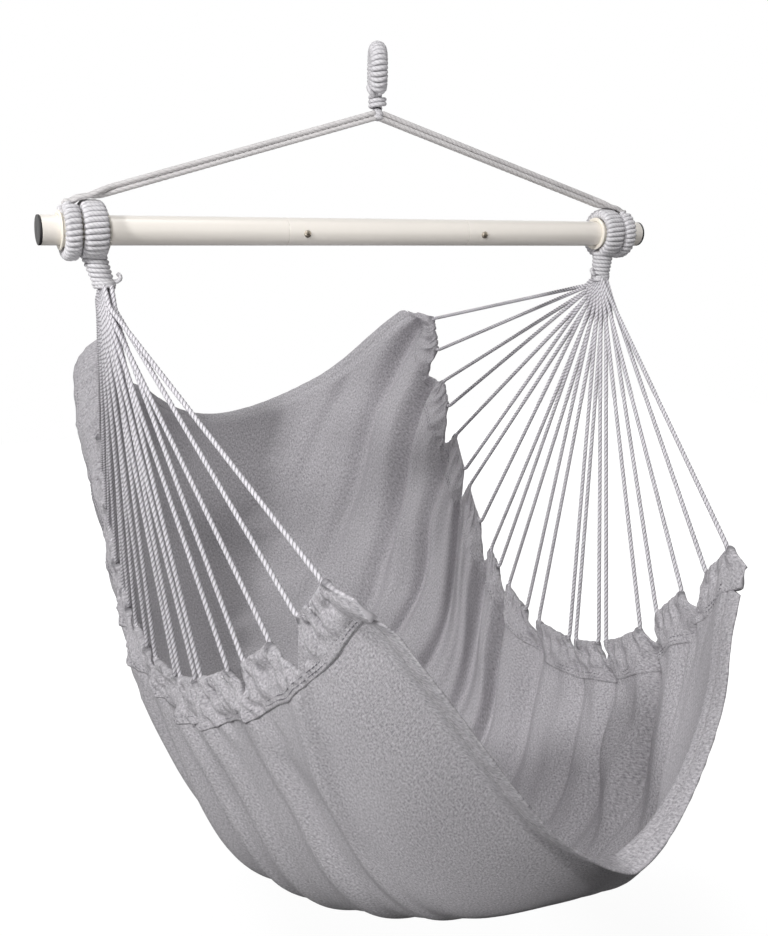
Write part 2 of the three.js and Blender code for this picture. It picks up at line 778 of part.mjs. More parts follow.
// Whole cord loop: down from the neck, through the tunnel, and up again
function cordLoopPoints(side, k, radiusAtBend) {
  const ends = [2 * k, 2 * k + 1].map((number) => {
    const share = number / (2 * loopCount - 1);
    const angle = radians(fanAngle(side.hem, share));
    const row = (number % 2 === 0 ? 1 : -1) * (cordSpacing / 2 + fitGap / 2);
    const reach = fanRadius + fanStartClearance;
    return neckPoint(side).add(vector(row, -reach * Math.sin(angle), -reach * Math.cos(angle)));
  });
  const corners = [2 * k, 2 * k + 1].map((number) => hemPoint(side, cordEndShares[number]));
  const middle = hemPoint(side, (cordEndShares[2 * k] + cordEndShares[2 * k + 1]) / 2);
  const bend = (corner, from) => {
    const up = corner.clone().add(from.clone().sub(corner).setLength(radiusAtBend));
    const along = corner.clone().add(middle.clone().sub(corner).setLength(radiusAtBend));
    const turn = up.clone().add(along).add(corner).add(corner).multiplyScalar(1 / 4);
    return [up, turn, along];
  };
  const down = bend(corners[0], ends[0]);
  const rise = bend(corners[1], ends[1]).reverse();
  return [ends[0], ...down, middle, ...rise, ends[1]];
}

function addSeatSide(side) {
  const cordLines = [];
  for (let k = 0; k < loopCount; k++) {
    const line = cordLoopPoints(side, k, cordBendRadius);
    cordLines.push(line);
    const number = String(k + 1).padStart(2, "0");
    place(chair, "cord_loop_" + side.name + "_" + number, rod(line, cordRadius, cordSides), rope());
  }
  const rows = hemRows().map(({ share, low }) => ({
    share,
    places: (low ? lowRows : fullRows).map(([inward, half]) => ({
      distance: side.sign < 0 ? inward : sectionAt(share).total - inward,
      half,
    })),
  }));
  const tunnels = cordLines.map((line) => rod(line, cordRadius + fitGap, cordSides));
  place(chair, "side_hem_" + side.name, cut(clothBody(rows), ...tunnels), cloth());
}

// Neck: ring core, stem and fan in one body, then the two windings
function fanBody(hem) {
  const first = radians(-hem.backAngle - fanSpareAngle);
  const last = radians(hem.frontAngle + fanSpareAngle);
  const outline = new THREE.Shape();
  const root = neckBottomDiameter / 2;
  outline.moveTo(-root, root / 2);
  for (let i = 0; i <= ringSegments / 2; i++) {
    const angle = THREE.MathUtils.lerp(last, first, i / (ringSegments / 2));
    outline.lineTo(-fanRadius * Math.sin(angle), -fanRadius * Math.cos(angle));
  }
  outline.lineTo(root, root / 2);
  const depth = 2 * cordSpacing;
  const fan = new THREE.ExtrudeGeometry(outline, { depth, bevelEnabled: false });
  return facingOut(fan.translate(0, 0, -depth / 2).rotateX(Math.PI / 2).rotateZ(Math.PI / 2));
}

function addNeck({ name, sign, hem, neckInset }) {
  const neck = groupAt(sign * neckRingPlace, 0, -barDrop);
  const length = neckDrop - ringRadius;
  const stem = stemCone(neckTopDiameter / 2, neckBottomDiameter / 2, length);
  const skew = new THREE.Matrix4().makeShear(0, 0, 0, 0, (sign * neckInset) / length, 0);
  stem.translate(0, 0, -length / 2).applyMatrix4(skew).translate(0, 0, -ringRadius);
  const fan = fanBody(hem).translate(-sign * neckInset, 0, -neckDrop);
  const label = "neck_" + name;
  place(neck, label + "_core", joined(ringCore(ringRadius, neckSections.core), stem, fan), rope());
  const ring = ringWinding(label + "_ring_winding", ringRadius, neckSections.winding, ringTurns, 180, neckRingOpenAngle);
  place(neck, label + "_ring_winding", ring, rope());
  const reachAt = (drop) => {
    const share = (drop - ringRadius) / length;
    return THREE.MathUtils.lerp(neckTopDiameter, neckBottomDiameter, share) / 2 + windingOffset;
  };
  const height = neckPitch * neckTurns;
  const reaches = [reachAt(neckWindingTop), reachAt(neckWindingTop + height)];
  const stemCord = stemWinding(label + "_stem_winding", 0, ...reaches, neckTurns, neckPitch, tailLength);
  if (sign > 0) stemCord.rotateZ(Math.PI);
  const drop = neckWindingTop - ringRadius;
  stemCord.applyMatrix4(skew).translate((-sign * neckInset * drop) / length, 0, -neckWindingTop);
  place(neck, label + "_stem_winding", stemCord, rope());
}

addTopLoop();
addThroat();
addApex();
addLegs();
addBar();
for (const side of sides) {
  addNeck(side);
  addSeatSide(side);
}
addPanel();

export default chair;
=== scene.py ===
"""Hanging hammock chair: sewn cloth seat, twisted cords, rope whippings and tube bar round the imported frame.

Shapes are written in millimetres in the frame's axes and turned into metres when a piece is made.
"""

import math

import bpy
import numpy as np
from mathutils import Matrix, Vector


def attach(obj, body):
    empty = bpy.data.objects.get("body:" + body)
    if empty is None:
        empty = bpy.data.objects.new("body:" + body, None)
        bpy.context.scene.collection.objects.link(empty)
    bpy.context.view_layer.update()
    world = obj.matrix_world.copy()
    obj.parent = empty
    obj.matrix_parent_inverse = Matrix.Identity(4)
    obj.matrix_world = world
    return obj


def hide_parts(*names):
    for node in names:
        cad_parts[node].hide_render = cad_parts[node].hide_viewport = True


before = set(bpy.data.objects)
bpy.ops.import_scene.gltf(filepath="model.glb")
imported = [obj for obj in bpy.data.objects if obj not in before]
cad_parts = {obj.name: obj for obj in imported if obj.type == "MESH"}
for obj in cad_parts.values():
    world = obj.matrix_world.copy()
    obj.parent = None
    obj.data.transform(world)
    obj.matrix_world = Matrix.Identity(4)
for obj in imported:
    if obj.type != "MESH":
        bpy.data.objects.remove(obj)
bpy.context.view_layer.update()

MM = 0.001
TURN = 2 * math.pi
RNG_SEED = 7
SIDES = {"left": -1, "right": 1}

# Bar
BAR_LENGTH, BAR_RADIUS, BAR_WALL, BAR_DROP, BAR_TURN = 800, 16, 1.6, 198, math.radians(10)
SEAM, SPIGOT, CAP, SCREW_PAST_SEAM = 121, 45, 3, 22
FIT_GAP = 0.3
BAR_MIDDLE = (0, 0, -BAR_DROP)

# Sleeves and rope rings
SLEEVE_INNER, SLEEVE_OUTER, FLANGE_RADIUS, FLANGE = 16.3, 17.8, 21.0, 1.6
NECK_PLACE, NECK_RING_WIDTH, LEG_RING_WIDTH, RING_SPACING = 343, 27, 18, 1.3
LEG_PLACE = NECK_PLACE + NECK_RING_WIDTH / 2 + RING_SPACING + LEG_RING_WIDTH / 2
RING_INNER, RING_OUTER = 18.1, 31.9
RING_MIDDLE = (RING_INNER + RING_OUTER) / 2

# Necks
NECK_DROP, FAN_START = 64, 30.95
NECK_INSET = {"left": 12, "right": 4}

# Loop and apex
LOOP_RADIUS, LOOP_LIMB, LOOP_YAW = 22, 10.3, math.radians(-22)
LOOP_CENTRE, APEX_DROP = LOOP_LIMB - LOOP_RADIUS, 61.8

# Cords: eleven loops a side, each with two ends, given as shares of the hem from back to front
CORD_RADIUS, CORD_SPACING, CORD_LAY, CORD_BEND = 2.8, 5.95, 17, 9
LOOPS, ENDS = 11, 22
CORD_ENDS = np.array([
    0, 0.057, 0.114, 0.161, 0.214, 0.277, 0.305, 0.368, 0.413, 0.445, 0.478,
    0.53, 0.561, 0.634, 0.648, 0.699, 0.715, 0.791, 0.83, 0.891, 0.947, 1,
])

# Seat: hem arcs round the necks, then the depth of the sag at five shares from back to front
CORD_REACH = 450
REACH_SHARES = {
    "left": [0.883, 0.888, 0.901, 0.938, 0.978, 0.981, 0.966, 0.973, 0.998],
    "right": [0.911, 0.911, 0.936, 1.008, 1.088, 1.101, 1.075, 1.025, 1.056],
}
HEM_ANGLES = {"left": (77.9, 55.9), "right": (79.8, 53.9)}
HEM_LEAN = {"left": (12.4, 5.5, 12.1), "right": (4.5, 5.9, 13.1)}
HEM_LINE, HEM_END, CORNER_DROOP, HEM_DEPTH = 1120, 0.016, 32, 48
SEAT_SAG = 300
SAG_SHARES = [0.984, 0.843, 0.952, 0.911, 1.0]
SAG_TILT = [53, -16, -27, -41, -10]
SAG_FULLNESS = (2.09, 4.74, 1.67)
SAG_SKEW = (-0.04, -0.109, 0.082)

# The cloth turns out past the side hems near the back: how far, at five shares, and where it rises and sinks
TURN_OUT = {"left": (-50, 18, -18), "right": (8, 8, 26)}
TURN_SHARES = {"left": [1, 0.2, 0, 0, 0], "right": [1, 0.1, 0, 0, 0.1]}
TURN_RISE, TURN_FALL = 52, 230

# Small shifts that bring the cloth onto the photograph: the hem it is measured from, how far it moves, and
# where it rises and falls along that hem, in shares, and inwards from it. A fall at PAST_END never comes.
PAST_END = (2, 3)
CLOTH_SHIFTS = [
    ("right", (-15, 0, 0), (0.02, 0.12, 0.35, 0.6), (0, 50, 60, 240)),
    ("left", (8.4, -2.4, 8.16), (0.93, 1.0, *PAST_END), (8, 60, 110, 330)),
    ("right", (14, 0, 4.2), (0.88, 1.0, *PAST_END), (60, 170, 300, 460)),
    ("right", (-8, 0, -2.4), (0.55, 0.75, 0.84, 0.95), (60, 170, 300, 460)),
]
FLANK_BULGE, BULGE_ALONG, BULGE_INWARD = 8, (0.1, 0.25, 0.4, 0.6), (10, 70, 90, 240)

# Folds: height in millimetres, and where they rise and sink inwards from the hem
FOLD_HEIGHT, FOLD_RISE, FOLD_SINK = 32, (0, 50), 140
MIDDLE_FOLD_HEIGHT, MIDDLE_FOLD_RISE, MIDDLE_FOLD_SINK = 5, (15, 80), 110
WAVE_HEIGHT, WAVE_INWARD = 15, (40, 160, 230, 460)
WRINKLE_HEIGHT, WRINKLE_INWARD = 1.4, (-4, 14, 30, 190)
RIPPLE_HEIGHT, RIPPLE_RISE = 3.5, (60, 260)
PLEAT_WAVE, PLEAT_EDGE, PLEAT_BEFORE_TIP = 1.6, 1.7, 9
PLEAT_REACH, PLEAT_RISE, PLEAT_ASIDE = (3, 16, 24, 105), (-4, 10), (24, 46)

# Folds along the hem, in shares: how far they lean to its middle, and where they rise, are weak and fade
FOLD_LEAN, FOLD_LEAN_MOST, BACK_RISE, BACK_WEAK = 0.85, 0.5, (-0.34, -0.1), (-0.06, 0.02)
ENDS_CALM = (-HEM_END, 0.03, 0.97, 1 + HEM_END)
VALLEY_POWER, VALLEY_LEVEL, VALLEY_INWARD = 2.2, 0.36, (50, 170)
FOLD_SEEDS, FOLD_FADES = {"left": 11, "right": 41}, {"left": 0.88, "right": 0.93}
LEFT_FOLD_SIZE, LEFT_CALM, LEFT_CALM_ALONG = 0.44, 0.8, (0.2, 0.5)
RIGHT_FOLD_MORE, RIGHT_MORE_ALONG = 0.4, (0.3, 0.55)


# Numbers


def smoothstep(x, low, high):
    """Rises from 0 at low to 1 at high, level at both ends."""
    t = np.clip((np.asarray(x, float) - low) / (high - low), 0, 1)
    return t * t * (3 - 2 * t)


def fade(x, low, high):
    """Falls from 1 at low to 0 at high, level at both ends."""
    return 1 - smoothstep(x, low, high)


def window(x, rise, full, sink, end):
    """Rises from 0 at rise to 1 at full, and falls from 1 at sink to 0 at end."""
    return smoothstep(x, rise, full) * fade(x, sink, end)


def quadratic(values, t):
    """The parabola through three values at 0, a half and 1."""
    a, b, c = values
    return a * (1 - t) * (1 - 2 * t) + b * 4 * t * (1 - t) + c * t * (2 * t - 1)


def spline(values, t):
    """Smooth curve through evenly spaced values: a cubic in each span, with slopes that join the next."""
    v = np.asarray(values, float)
    last = len(v) - 1
    x = np.clip(t, 0, 1) * last
    i = np.minimum(np.floor(x).astype(int), last)
    w = x - i
    before, here = v[np.maximum(i - 1, 0)], v[i]
    ahead, beyond = v[np.minimum(i + 1, last)], v[np.minimum(i + 2, last)]
    s0, s1 = (ahead - before) / 2, (beyond - here) / 2
    cubic, square = 2 * here - 2 * ahead + s0 + s1, -3 * here + 3 * ahead - 2 * s0 - s1
    return cubic * w**3 + square * w**2 + s0 * w + here


def rumple(seed, x, y=0.0):
    """Smooth uneven field from -1 to 1: random values on a unit grid, blended by smoothstep between them."""
    rows, cols = 97, 89
    table = np.random.default_rng(seed).uniform(-1, 1, (rows, cols))
    x, y = np.broadcast_arrays(np.asarray(x, float), np.asarray(y, float))
    i, j = np.floor(x).astype(int), np.floor(y).astype(int)
    u, v = smoothstep(x - i, 0, 1), smoothstep(y - j, 0, 1)

    def line(b):
        here, ahead = (table[(i + a) % rows, (j + b) % cols] for a in (0, 1))
        return here * (1 - u) + ahead * u

    return line(0) * (1 - v) + line(1) * v


def unit(v):
    """Vectors at length one along the last axis."""
    return v / np.maximum(np.linalg.norm(v, axis=-1, keepdims=True), 1e-12)


def circle(sides):
    """Angles of evenly spaced points round a circle."""
    return TURN * np.arange(sides) / sides


def power_wave(wave, power):
    """A wave's size raised to a power, with its sign kept: a small power squares a circle's section."""
    return np.sign(wave) * np.abs(wave) ** power


# Meshes


def new_object(name, data):
    made = bpy.data.objects.new(name, data)
    bpy.context.scene.collection.objects.link(made)
    return made


def grid_part(points, wrap=False, join=False, caps=False, uv=None):
    """Quads between neighbouring rows and columns of a grid of points, with a map value at each corner.

    Wrap joins the last column to the first, join the last row to the first, and caps closes the end rows.
    """
    rows, cols = points.shape[:2]
    index = np.arange(rows * cols).reshape(rows, cols)
    if join:
        index = np.concatenate([index, index[:1]])
    if wrap:
        index = np.column_stack([index, index[:, :1]])
    if uv is None:
        uv = np.stack(np.indices(index.shape)[::-1], -1).astype(float)
    n, m = index.shape
    corners = [(0, 0), (0, 1), (1, 1), (1, 0)]
    quads, coords = (np.stack([t[a:n - 1 + a, b:m - 1 + b] for a, b in corners], 2) for t in (index, uv))
    faces = [(quads.reshape(-1, 4), coords.reshape(-1, 4, 2))]
    if caps:
        for row, way in ((0, -1), (-1, 1)):
            faces.append((index[row, :cols][::way][None, :], np.zeros((1, cols, 2)) + uv[row, 0]))
    return points.reshape(-1, 3), faces


def outward(part):
    """Turns a closed part's faces round where its volume, a sum of corner triple products, is below zero."""
    points, faces = part
    corners = [points[ring] for ring, _ in faces]
    volume = sum(float((c[:, :1] * np.cross(c[:, 1:-1], c[:, 2:])).sum()) for c in corners)
    if volume < 0:
        faces = [(ring[:, ::-1], coords[:, ::-1]) for ring, coords in faces]
    return points, faces


def add_map(mesh, name, parts):
    """A map with the values that the parts give the corners of their faces."""
    coords = np.concatenate([uv.reshape(-1, 2) for _, faces in parts for _, uv in faces])
    mesh.uv_layers.new(name=name).uv.foreach_set("vector", coords.astype(np.float32).ravel())


def piece(name, parts, material, body, node=None):
    """One smooth object from several parts, in metres, riding on a body and standing for a CAD node."""
    starts = np.cumsum([0] + [len(points) for points, _ in parts])
    rings = [ring + start for start, (_, faces) in zip(starts, parts) for ring, _ in faces]
    sizes = np.concatenate([np.full(len(ring), ring.shape[1]) for ring in rings])
    points = np.concatenate([points for points, _ in parts]) * MM
    corners = np.concatenate([ring.ravel() for ring in rings])
    mesh = bpy.data.meshes.new(name)
    mesh.vertices.add(len(points))
    mesh.vertices.foreach_set("co", points.astype(np.float32).ravel())
    mesh.loops.add(len(corners))
    mesh.loops.foreach_set("vertex_index", corners.astype(np.int32))
    mesh.polygons.add(len(sizes))
    mesh.polygons.foreach_set("loop_start", (np.cumsum(sizes) - sizes).astype(np.int32))
    mesh.update(calc_edges=True)
    add_map(mesh, "lay", parts)
    mesh.polygons.foreach_set("use_smooth", np.ones(len(sizes), bool))
    mesh.materials.append(material)
    mesh.validate()
    thing = new_object(name, mesh)
    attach(thing, body)
    if node:
        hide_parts(node)
    return thing


def hard_piece(name, parts, material, body, node):
    """A piece whose edges sharper than 35 degrees stay crisp under smooth shading."""
    made = piece(name, parts, material, body, node)
    made.data.set_sharp_from_angle(angle=math.radians(35))


def along(points, step, ease=0.0):
    """Evenly spaced points along straight runs, with corners eased by a moving average over a length."""
    points = np.asarray(points, float)
    lengths = np.concatenate([[0], np.cumsum(np.linalg.norm(np.diff(points, axis=0), axis=1))])
    count = max(int(round(lengths[-1] / step)), 2)
    places = np.linspace(0, lengths[-1], count + 1)
    line = np.stack([np.interp(places, lengths, points[:, k]) for k in range(3)], -1)
    half = int(round(ease / step / 2))
    if half < 1:
        return line
    kernel = np.hanning(2 * half + 3)[1:-1]
    kernel /= kernel.sum()
    front = 2 * line[0] - line[1:half + 1][::-1]
    back = 2 * line[-1] - line[-half - 1:-1][::-1]
    padded = np.concatenate([front, line, back])
    return np.stack([np.convolve(padded[:, k], kernel, "valid") for k in range(3)], -1)


def rope(line, reference, radius, lay, sides=12, groove=0.2, round_ends=0.0):
    """Laid rope along a line: a round section with three lobes, turned once per lay length.

    The lobes are the size of a cosine, and a groove share of the radius deep. The section's arms are the
    reference direction, made square to the line, and its cross product with the line. Round ends fall to a
    point as a quarter circle over the length given.
    """
    tangent = unit(np.gradient(line, axis=0))
    reference = np.broadcast_to(np.asarray(reference, float), line.shape)
    first = unit(reference - (reference * tangent).sum(-1, keepdims=True) * tangent)
    second = np.cross(tangent, first)
    travel = np.concatenate([[0], np.cumsum(np.linalg.norm(np.diff(line, axis=0), axis=1))])[:, None]
    angle = circle(sides)
    lobe = np.abs(np.cos(1.5 * (angle - TURN * travel / lay)))
    reach = radius * (1 - groove * (1 - lobe**0.7))
    if round_ends:
        left = np.clip(np.minimum(travel, travel[-1] - travel) / round_ends, 0.02, 1)
        reach = reach * np.sqrt(1 - (1 - left) ** 2)
    across = np.cos(angle)[:, None] * first[:, None] + np.sin(angle)[:, None] * second[:, None]
    u = 3 * (np.arange(sides + 1) / sides - travel / lay)
    uv = np.stack([u, np.broadcast_to(travel * MM, u.shape)], -1)
    return outward(grid_part(line[:, None] + reach[..., None] * across, wrap=True, caps=True, uv=uv))


def turned(outline, segments, shift=(0, 0, 0)):
    """Closed outline of (radius, place along X), clear of the X axis, carried round it and then moved."""
    outline = np.asarray(outline, float)
    radius, place = outline[:, :1], outline[:, 1:]
    angle = circle(segments)
    points = np.stack(np.broadcast_arrays(place, radius * np.cos(angle), radius * np.sin(angle)), -1)
    row, column = np.indices((len(outline) + 1, segments + 1))
    uv = np.stack([column / segments, row], -1)
    return outward(grid_part(points + np.asarray(shift, float), wrap=True, join=True, uv=uv))


def stacked(centres, first, second, sides=16):
    """Closed stack of ovals: centre, plus cosine of the angle times one arm, plus sine times the other."""
    angle = circle(sides)[:, None]
    centres, first, second = (np.asarray(rows, float)[..., None, :] for rows in (centres, first, second))
    points = centres + np.cos(angle) * first + np.sin(angle) * second
    return outward(grid_part(points, wrap=True, caps=True))


def rounded(outline, radius, steps=4):
    """Outline with each corner cut by a short arc: points on the parabola between the two cut ends."""
    outline = np.asarray(outline, float)
    t = np.linspace(0, 1, steps)[:, None]
    found = []
    for k, corner in enumerate(outline):
        before, after = outline[k - 1] - corner, outline[(k + 1) % len(outline)] - corner
        cut = min(radius, np.linalg.norm(before) / 2.2, np.linalg.norm(after) / 2.2)
        a, b = corner + unit(before) * cut, corner + unit(after) * cut
        found.append(a * (1 - t) ** 2 + corner * 2 * t * (1 - t) + b * t**2)
    return np.concatenate(found)


# Seat surface

SECTION_ACROSS = np.linspace(0, 1, 161)
TANGENT_STEP = 0.004

# Notches between the cord loops and at both ends: place, gap between the cords, depth of the tip, half mouth
NOTCHES = np.concatenate([[-HEM_END], (CORD_ENDS[1:-1:2] + CORD_ENDS[2::2]) / 2, [1 + HEM_END]])
NOTCH_GAPS = np.concatenate([[30], (CORD_ENDS[2::2] - CORD_ENDS[1:-1:2]) * HEM_LINE, [30]])
NOTCH_DEPTHS = 18 + 0.28 * NOTCH_GAPS + np.random.default_rng(RNG_SEED).uniform(-2, 2, LOOPS + 1)
NOTCH_MOUTHS = np.maximum(NOTCH_GAPS / 2 + 1, 9.5)


def neck_point(side):
    """The knot under a neck, where its cords meet."""
    return np.array([SIDES[side] * (NECK_PLACE - NECK_INSET[side]), 0, -BAR_DROP - NECK_DROP], float)


def fan_angle(side, share):
    """Angle of a cord in its fan, from the vertical towards the front."""
    back, front = HEM_ANGLES[side]
    return np.radians(-back + (front + back) * share)


def hem_line(side, share):
    """Arc round the neck point, whose reach and sideways lean change. Corners droop past the end cords."""
    share = np.asarray(share, float)
    angle, lean = fan_angle(side, share), np.radians(quadratic(HEM_LEAN[side], share))
    past = np.maximum(np.maximum(-share, share - 1), 0) / HEM_END
    reach = CORD_REACH * spline(REACH_SHARES[side], share) + CORNER_DROOP * past
    down = reach * np.cos(lean)
    arm = np.stack([-SIDES[side] * reach * np.sin(lean), -down * np.sin(angle), -down * np.cos(angle)], -1)
    return neck_point(side) + arm


def sheet_place(share, across):
    """Left and right hem joined by a section whose sag is one less a power of distance from its middle."""
    tilt = np.radians(spline(SAG_TILT, share))
    hollow = 1 - np.abs(2 * across - 1) ** quadratic(SAG_FULLNESS, share)
    depth = SEAT_SAG * spline(SAG_SHARES, share) * hollow
    part = (across + quadratic(SAG_SKEW, share) * np.sin(math.pi * across))[..., None]
    line = hem_line("left", share) * (1 - part) + hem_line("right", share) * part
    return line + np.stack([0 * depth, depth * np.sin(tilt), -depth * np.cos(tilt)], -1)


def section_lengths(shares):
    """Lengths along the cloth from the left hem at each share."""
    points = sheet_place(shares[:, None], np.broadcast_to(SECTION_ACROSS, (len(shares), len(SECTION_ACROSS))))
    steps = np.linalg.norm(np.diff(points, axis=1), axis=2)
    return np.concatenate([np.zeros((len(shares), 1)), np.cumsum(steps, axis=1)], axis=1)


def phase_of(share):
    """Place between the two notches on either side, from 0 to 1, with the loop's number."""
    loop = np.clip(np.searchsorted(NOTCHES, share, side="right") - 1, 0, LOOPS - 1)
    return (share - NOTCHES[loop]) / (NOTCHES[loop + 1] - NOTCHES[loop]), loop


def near_notch(share):
    """The nearest notch, and how far the place is from its middle along the hem."""
    k = np.abs(np.asarray(share)[..., None] - NOTCHES).argmin(-1)
    return k, (share - NOTCHES[k]) * HEM_LINE


def notch_pleats(seed, share, inward):
    """Pleats that fan from each notch: a round and a sharp wave of the angle seen from just before its tip.

    They are strongest 16 to 24 mm from there. What divides a length in a rumple is its wave length.
    """
    k, aside = near_notch(share)
    below = inward - NOTCH_DEPTHS[k] + PLEAT_BEFORE_TIP
    angle, reach = np.arctan2(aside, np.maximum(below, 0.1)), np.hypot(aside, below)
    wave = np.cos(9 * angle + 5 * rumple(seed, k * 1.7 + 0.3, reach / 60) + k)
    sharp = 1 - 2 * np.abs(np.sin(4.5 * angle + 3 * rumple(seed + 1, k * 2.3, reach / 45) + k)) ** 0.7
    strength = window(reach, *PLEAT_REACH) * smoothstep(below, *PLEAT_RISE)
    return (PLEAT_WAVE * wave + PLEAT_EDGE * sharp) * strength * fade(np.abs(aside), *PLEAT_ASIDE)


def side_folds(side, share, inward, total, size):
    """Folds that run in from the notches and lean towards the seat's middle.

    Each notch has a sharp valley, a raised cosine to a power, and each loop's middle a weaker one. Wider
    waves, small wrinkles and the notches' pleats are added, and all fade at the back and the front edge.
    """
    seed = FOLD_SEEDS[side]
    lean = np.clip(FOLD_LEAN * np.maximum(inward, 0) / total, 0, FOLD_LEAN_MOST)
    start = (share - 0.5 * lean) / (1 - lean)
    phase, loop = phase_of(start)
    length = start * HEM_LINE
    ends = window(start, *BACK_RISE, FOLD_FADES[side], 1 + HEM_END) * window(share, *ENDS_CALM)
    ends = ends * (0.55 + 0.45 * smoothstep(start, *BACK_WEAK))
    reach = total * (0.5 + 0.14 * rumple(seed, length / 70))
    bend = phase + 0.13 * rumple(seed + 4, length / 80, inward / 170)
    valley = (0.5 + 0.5 * np.cos(TURN * bend)) ** VALLEY_POWER
    valley = valley - VALLEY_LEVEL * smoothstep(inward, *VALLEY_INWARD)
    between = (0.5 + 0.5 * np.cos(TURN * (bend + 0.5 + 0.16 * rumple(seed + 6, loop * 1.9)))) ** 4 - 0.27
    strength = 1 + 0.45 * rumple(seed + 1, length / 60)
    main = FOLD_HEIGHT * strength * valley * window(inward, *FOLD_RISE, FOLD_SINK, reach)
    second = MIDDLE_FOLD_HEIGHT * (1 + 0.7 * rumple(seed + 7, loop * 2.7)) * between
    second = second * window(inward, *MIDDLE_FOLD_RISE, MIDDLE_FOLD_SINK, 0.8 * reach)
    drift = share * HEM_LINE / 46 + (0.5 - share) * inward / 60
    wide = WAVE_HEIGHT * rumple(seed + 2, drift, inward / 330) * window(inward, *WAVE_INWARD)
    small = WRINKLE_HEIGHT * rumple(seed + 3, length / 13 + inward / 160, inward / 80)
    small = small * window(inward, *WRINKLE_INWARD)
    folds = ((main + second) * (1 - lean) + wide) * size
    return (folds + small + notch_pleats(seed + 5, share, inward)) * ends


def turn_out(side, share, inward):
    """Move beyond the hem: grows over the hem's depth and runs out further in."""
    amount = spline(TURN_SHARES[side], share) * window(inward, 0, TURN_RISE, TURN_RISE, TURN_FALL)
    return amount[..., None] * np.array(TURN_OUT[side], float)


def cloth_point(shares, distance, offset=0.0):
    """Seat surface at shares and lengths from the left hem, with its normal.

    The cloth's shifts move it, and then the folds and an offset move it out along the normal. Beyond a hem it
    runs straight on.
    """
    lengths = section_lengths(shares)
    total = lengths[:, -1:]
    across = np.stack([np.interp(distance[k], lengths[k], SECTION_ACROSS) for k in range(len(shares))])
    rows = np.broadcast_to(shares[:, None], across.shape)
    low, high = (np.clip(across + step, 0, 1) for step in (-TANGENT_STEP, TANGENT_STEP))
    side = sheet_place(rows, high) - sheet_place(rows, low)
    fore = sheet_place(rows + TANGENT_STEP, across) - sheet_place(rows - TANGENT_STEP, across)
    normal = unit(np.cross(side, fore))
    beyond = np.minimum(distance, 0) + np.maximum(distance - total, 0)
    point = sheet_place(rows, across) + unit(side) * beyond[..., None]
    inward = {"left": distance, "right": total - distance}
    for edge in SIDES:
        point = point + turn_out(edge, rows, inward[edge])
    for edge, shift, along_hem, from_hem in CLOTH_SHIFTS:
        share = window(rows, *along_hem) * window(inward[edge], *from_hem)
        point = point + share[..., None] * np.array(shift, float)
    calm = 1 - LEFT_CALM * fade(rows, *LEFT_CALM_ALONG)
    bulge = FLANK_BULGE * window(rows, *BULGE_ALONG) * window(distance, *BULGE_INWARD)
    sizes = {"left": LEFT_FOLD_SIZE, "right": 1 + RIGHT_FOLD_MORE * fade(rows, *RIGHT_MORE_ALONG)}
    left, right = (side_folds(edge, rows, inward[edge], total, sizes[edge]) for edge in SIDES)
    ripple = RIPPLE_HEIGHT * rumple(71, rows * HEM_LINE / 170, distance / 210)
    ripple = ripple * smoothstep(np.minimum(distance, inward["right"]), *RIPPLE_RISE)
    return point + normal * (left * calm + bulge + right + ripple + offset)[..., None], normal


# Materials


class Nodes:
    """Short way to place and join shader nodes in one tree."""

    def __init__(self, tree):
        self.tree = tree

    def add(self, kind, inputs=None, **values):
        made = self.tree.nodes.new(kind)
        for key, value in values.items():
            setattr(made, key, value)
        for key, value in (inputs or {}).items():
            self.feed(made.inputs[key], value)
        return made

    def feed(self, target, value):
        if isinstance(value, bpy.types.NodeSocket):
            self.tree.links.new(value, target)
        else:
            target.default_value = value

    def math(self, operation, *values, clamp=False):
        made = self.add("ShaderNodeMath", dict(enumerate(values)), operation=operation, use_clamp=clamp)
        return made.outputs[0]

    def plus(self, a, b, clamp=False):
        return self.math("ADD", a, b, clamp=clamp)

    def minus(self, a, b):
        return self.math("SUBTRACT", a, b)

    def times(self, a, b, clamp=False):
        return self.math("MULTIPLY", a, b, clamp=clamp)

    def sine(self, a):
        return self.math("SINE", a)

    def noise(self, vector, scale, detail=2.0, roughness=0.5):
        inputs = {"Vector": vector, "Scale": scale, "Detail": detail, "Roughness": roughness}
        return self.add("ShaderNodeTexNoise", inputs).outputs["Fac"]

    def stretched_noise(self, vector, scale, detail, roughness):
        """Noise with a scale of its own along each axis."""
        drawn = self.add("ShaderNodeMapping", {"Vector": vector, "Scale": scale}).outputs[0]
        return self.noise(drawn, 1.0, detail, roughness)

    def blend(self, share, a, b, mode="MIX"):
        return self.add("ShaderNodeMix", {0: share, 6: a, 7: b}, data_type="RGBA", blend_type=mode).outputs[2]

    def ramp(self, value, low, high):
        inputs = {"Value": value, "From Min": low, "From Max": high}
        return self.add("ShaderNodeMapRange", inputs, clamp=True).outputs[0]

    def grey(self, value):
        inputs = {"Red": value, "Green": value, "Blue": value}
        return self.add("ShaderNodeCombineColor", inputs).outputs[0]

    def object_place(self):
        return self.add("ShaderNodeTexCoord").outputs["Object"]

    def map_place(self, name):
        """A map's value, and its two parts."""
        place = self.add("ShaderNodeUVMap", uv_map=name).outputs[0]
        parts = self.add("ShaderNodeSeparateXYZ", {"Vector": place}).outputs
        return place, parts[0], parts[1]

    def group(self, tree, **values):
        made = self.add("ShaderNodeGroup", node_tree=tree)
        for key, value in values.items():
            self.feed(made.inputs[key], value)
        return made.outputs


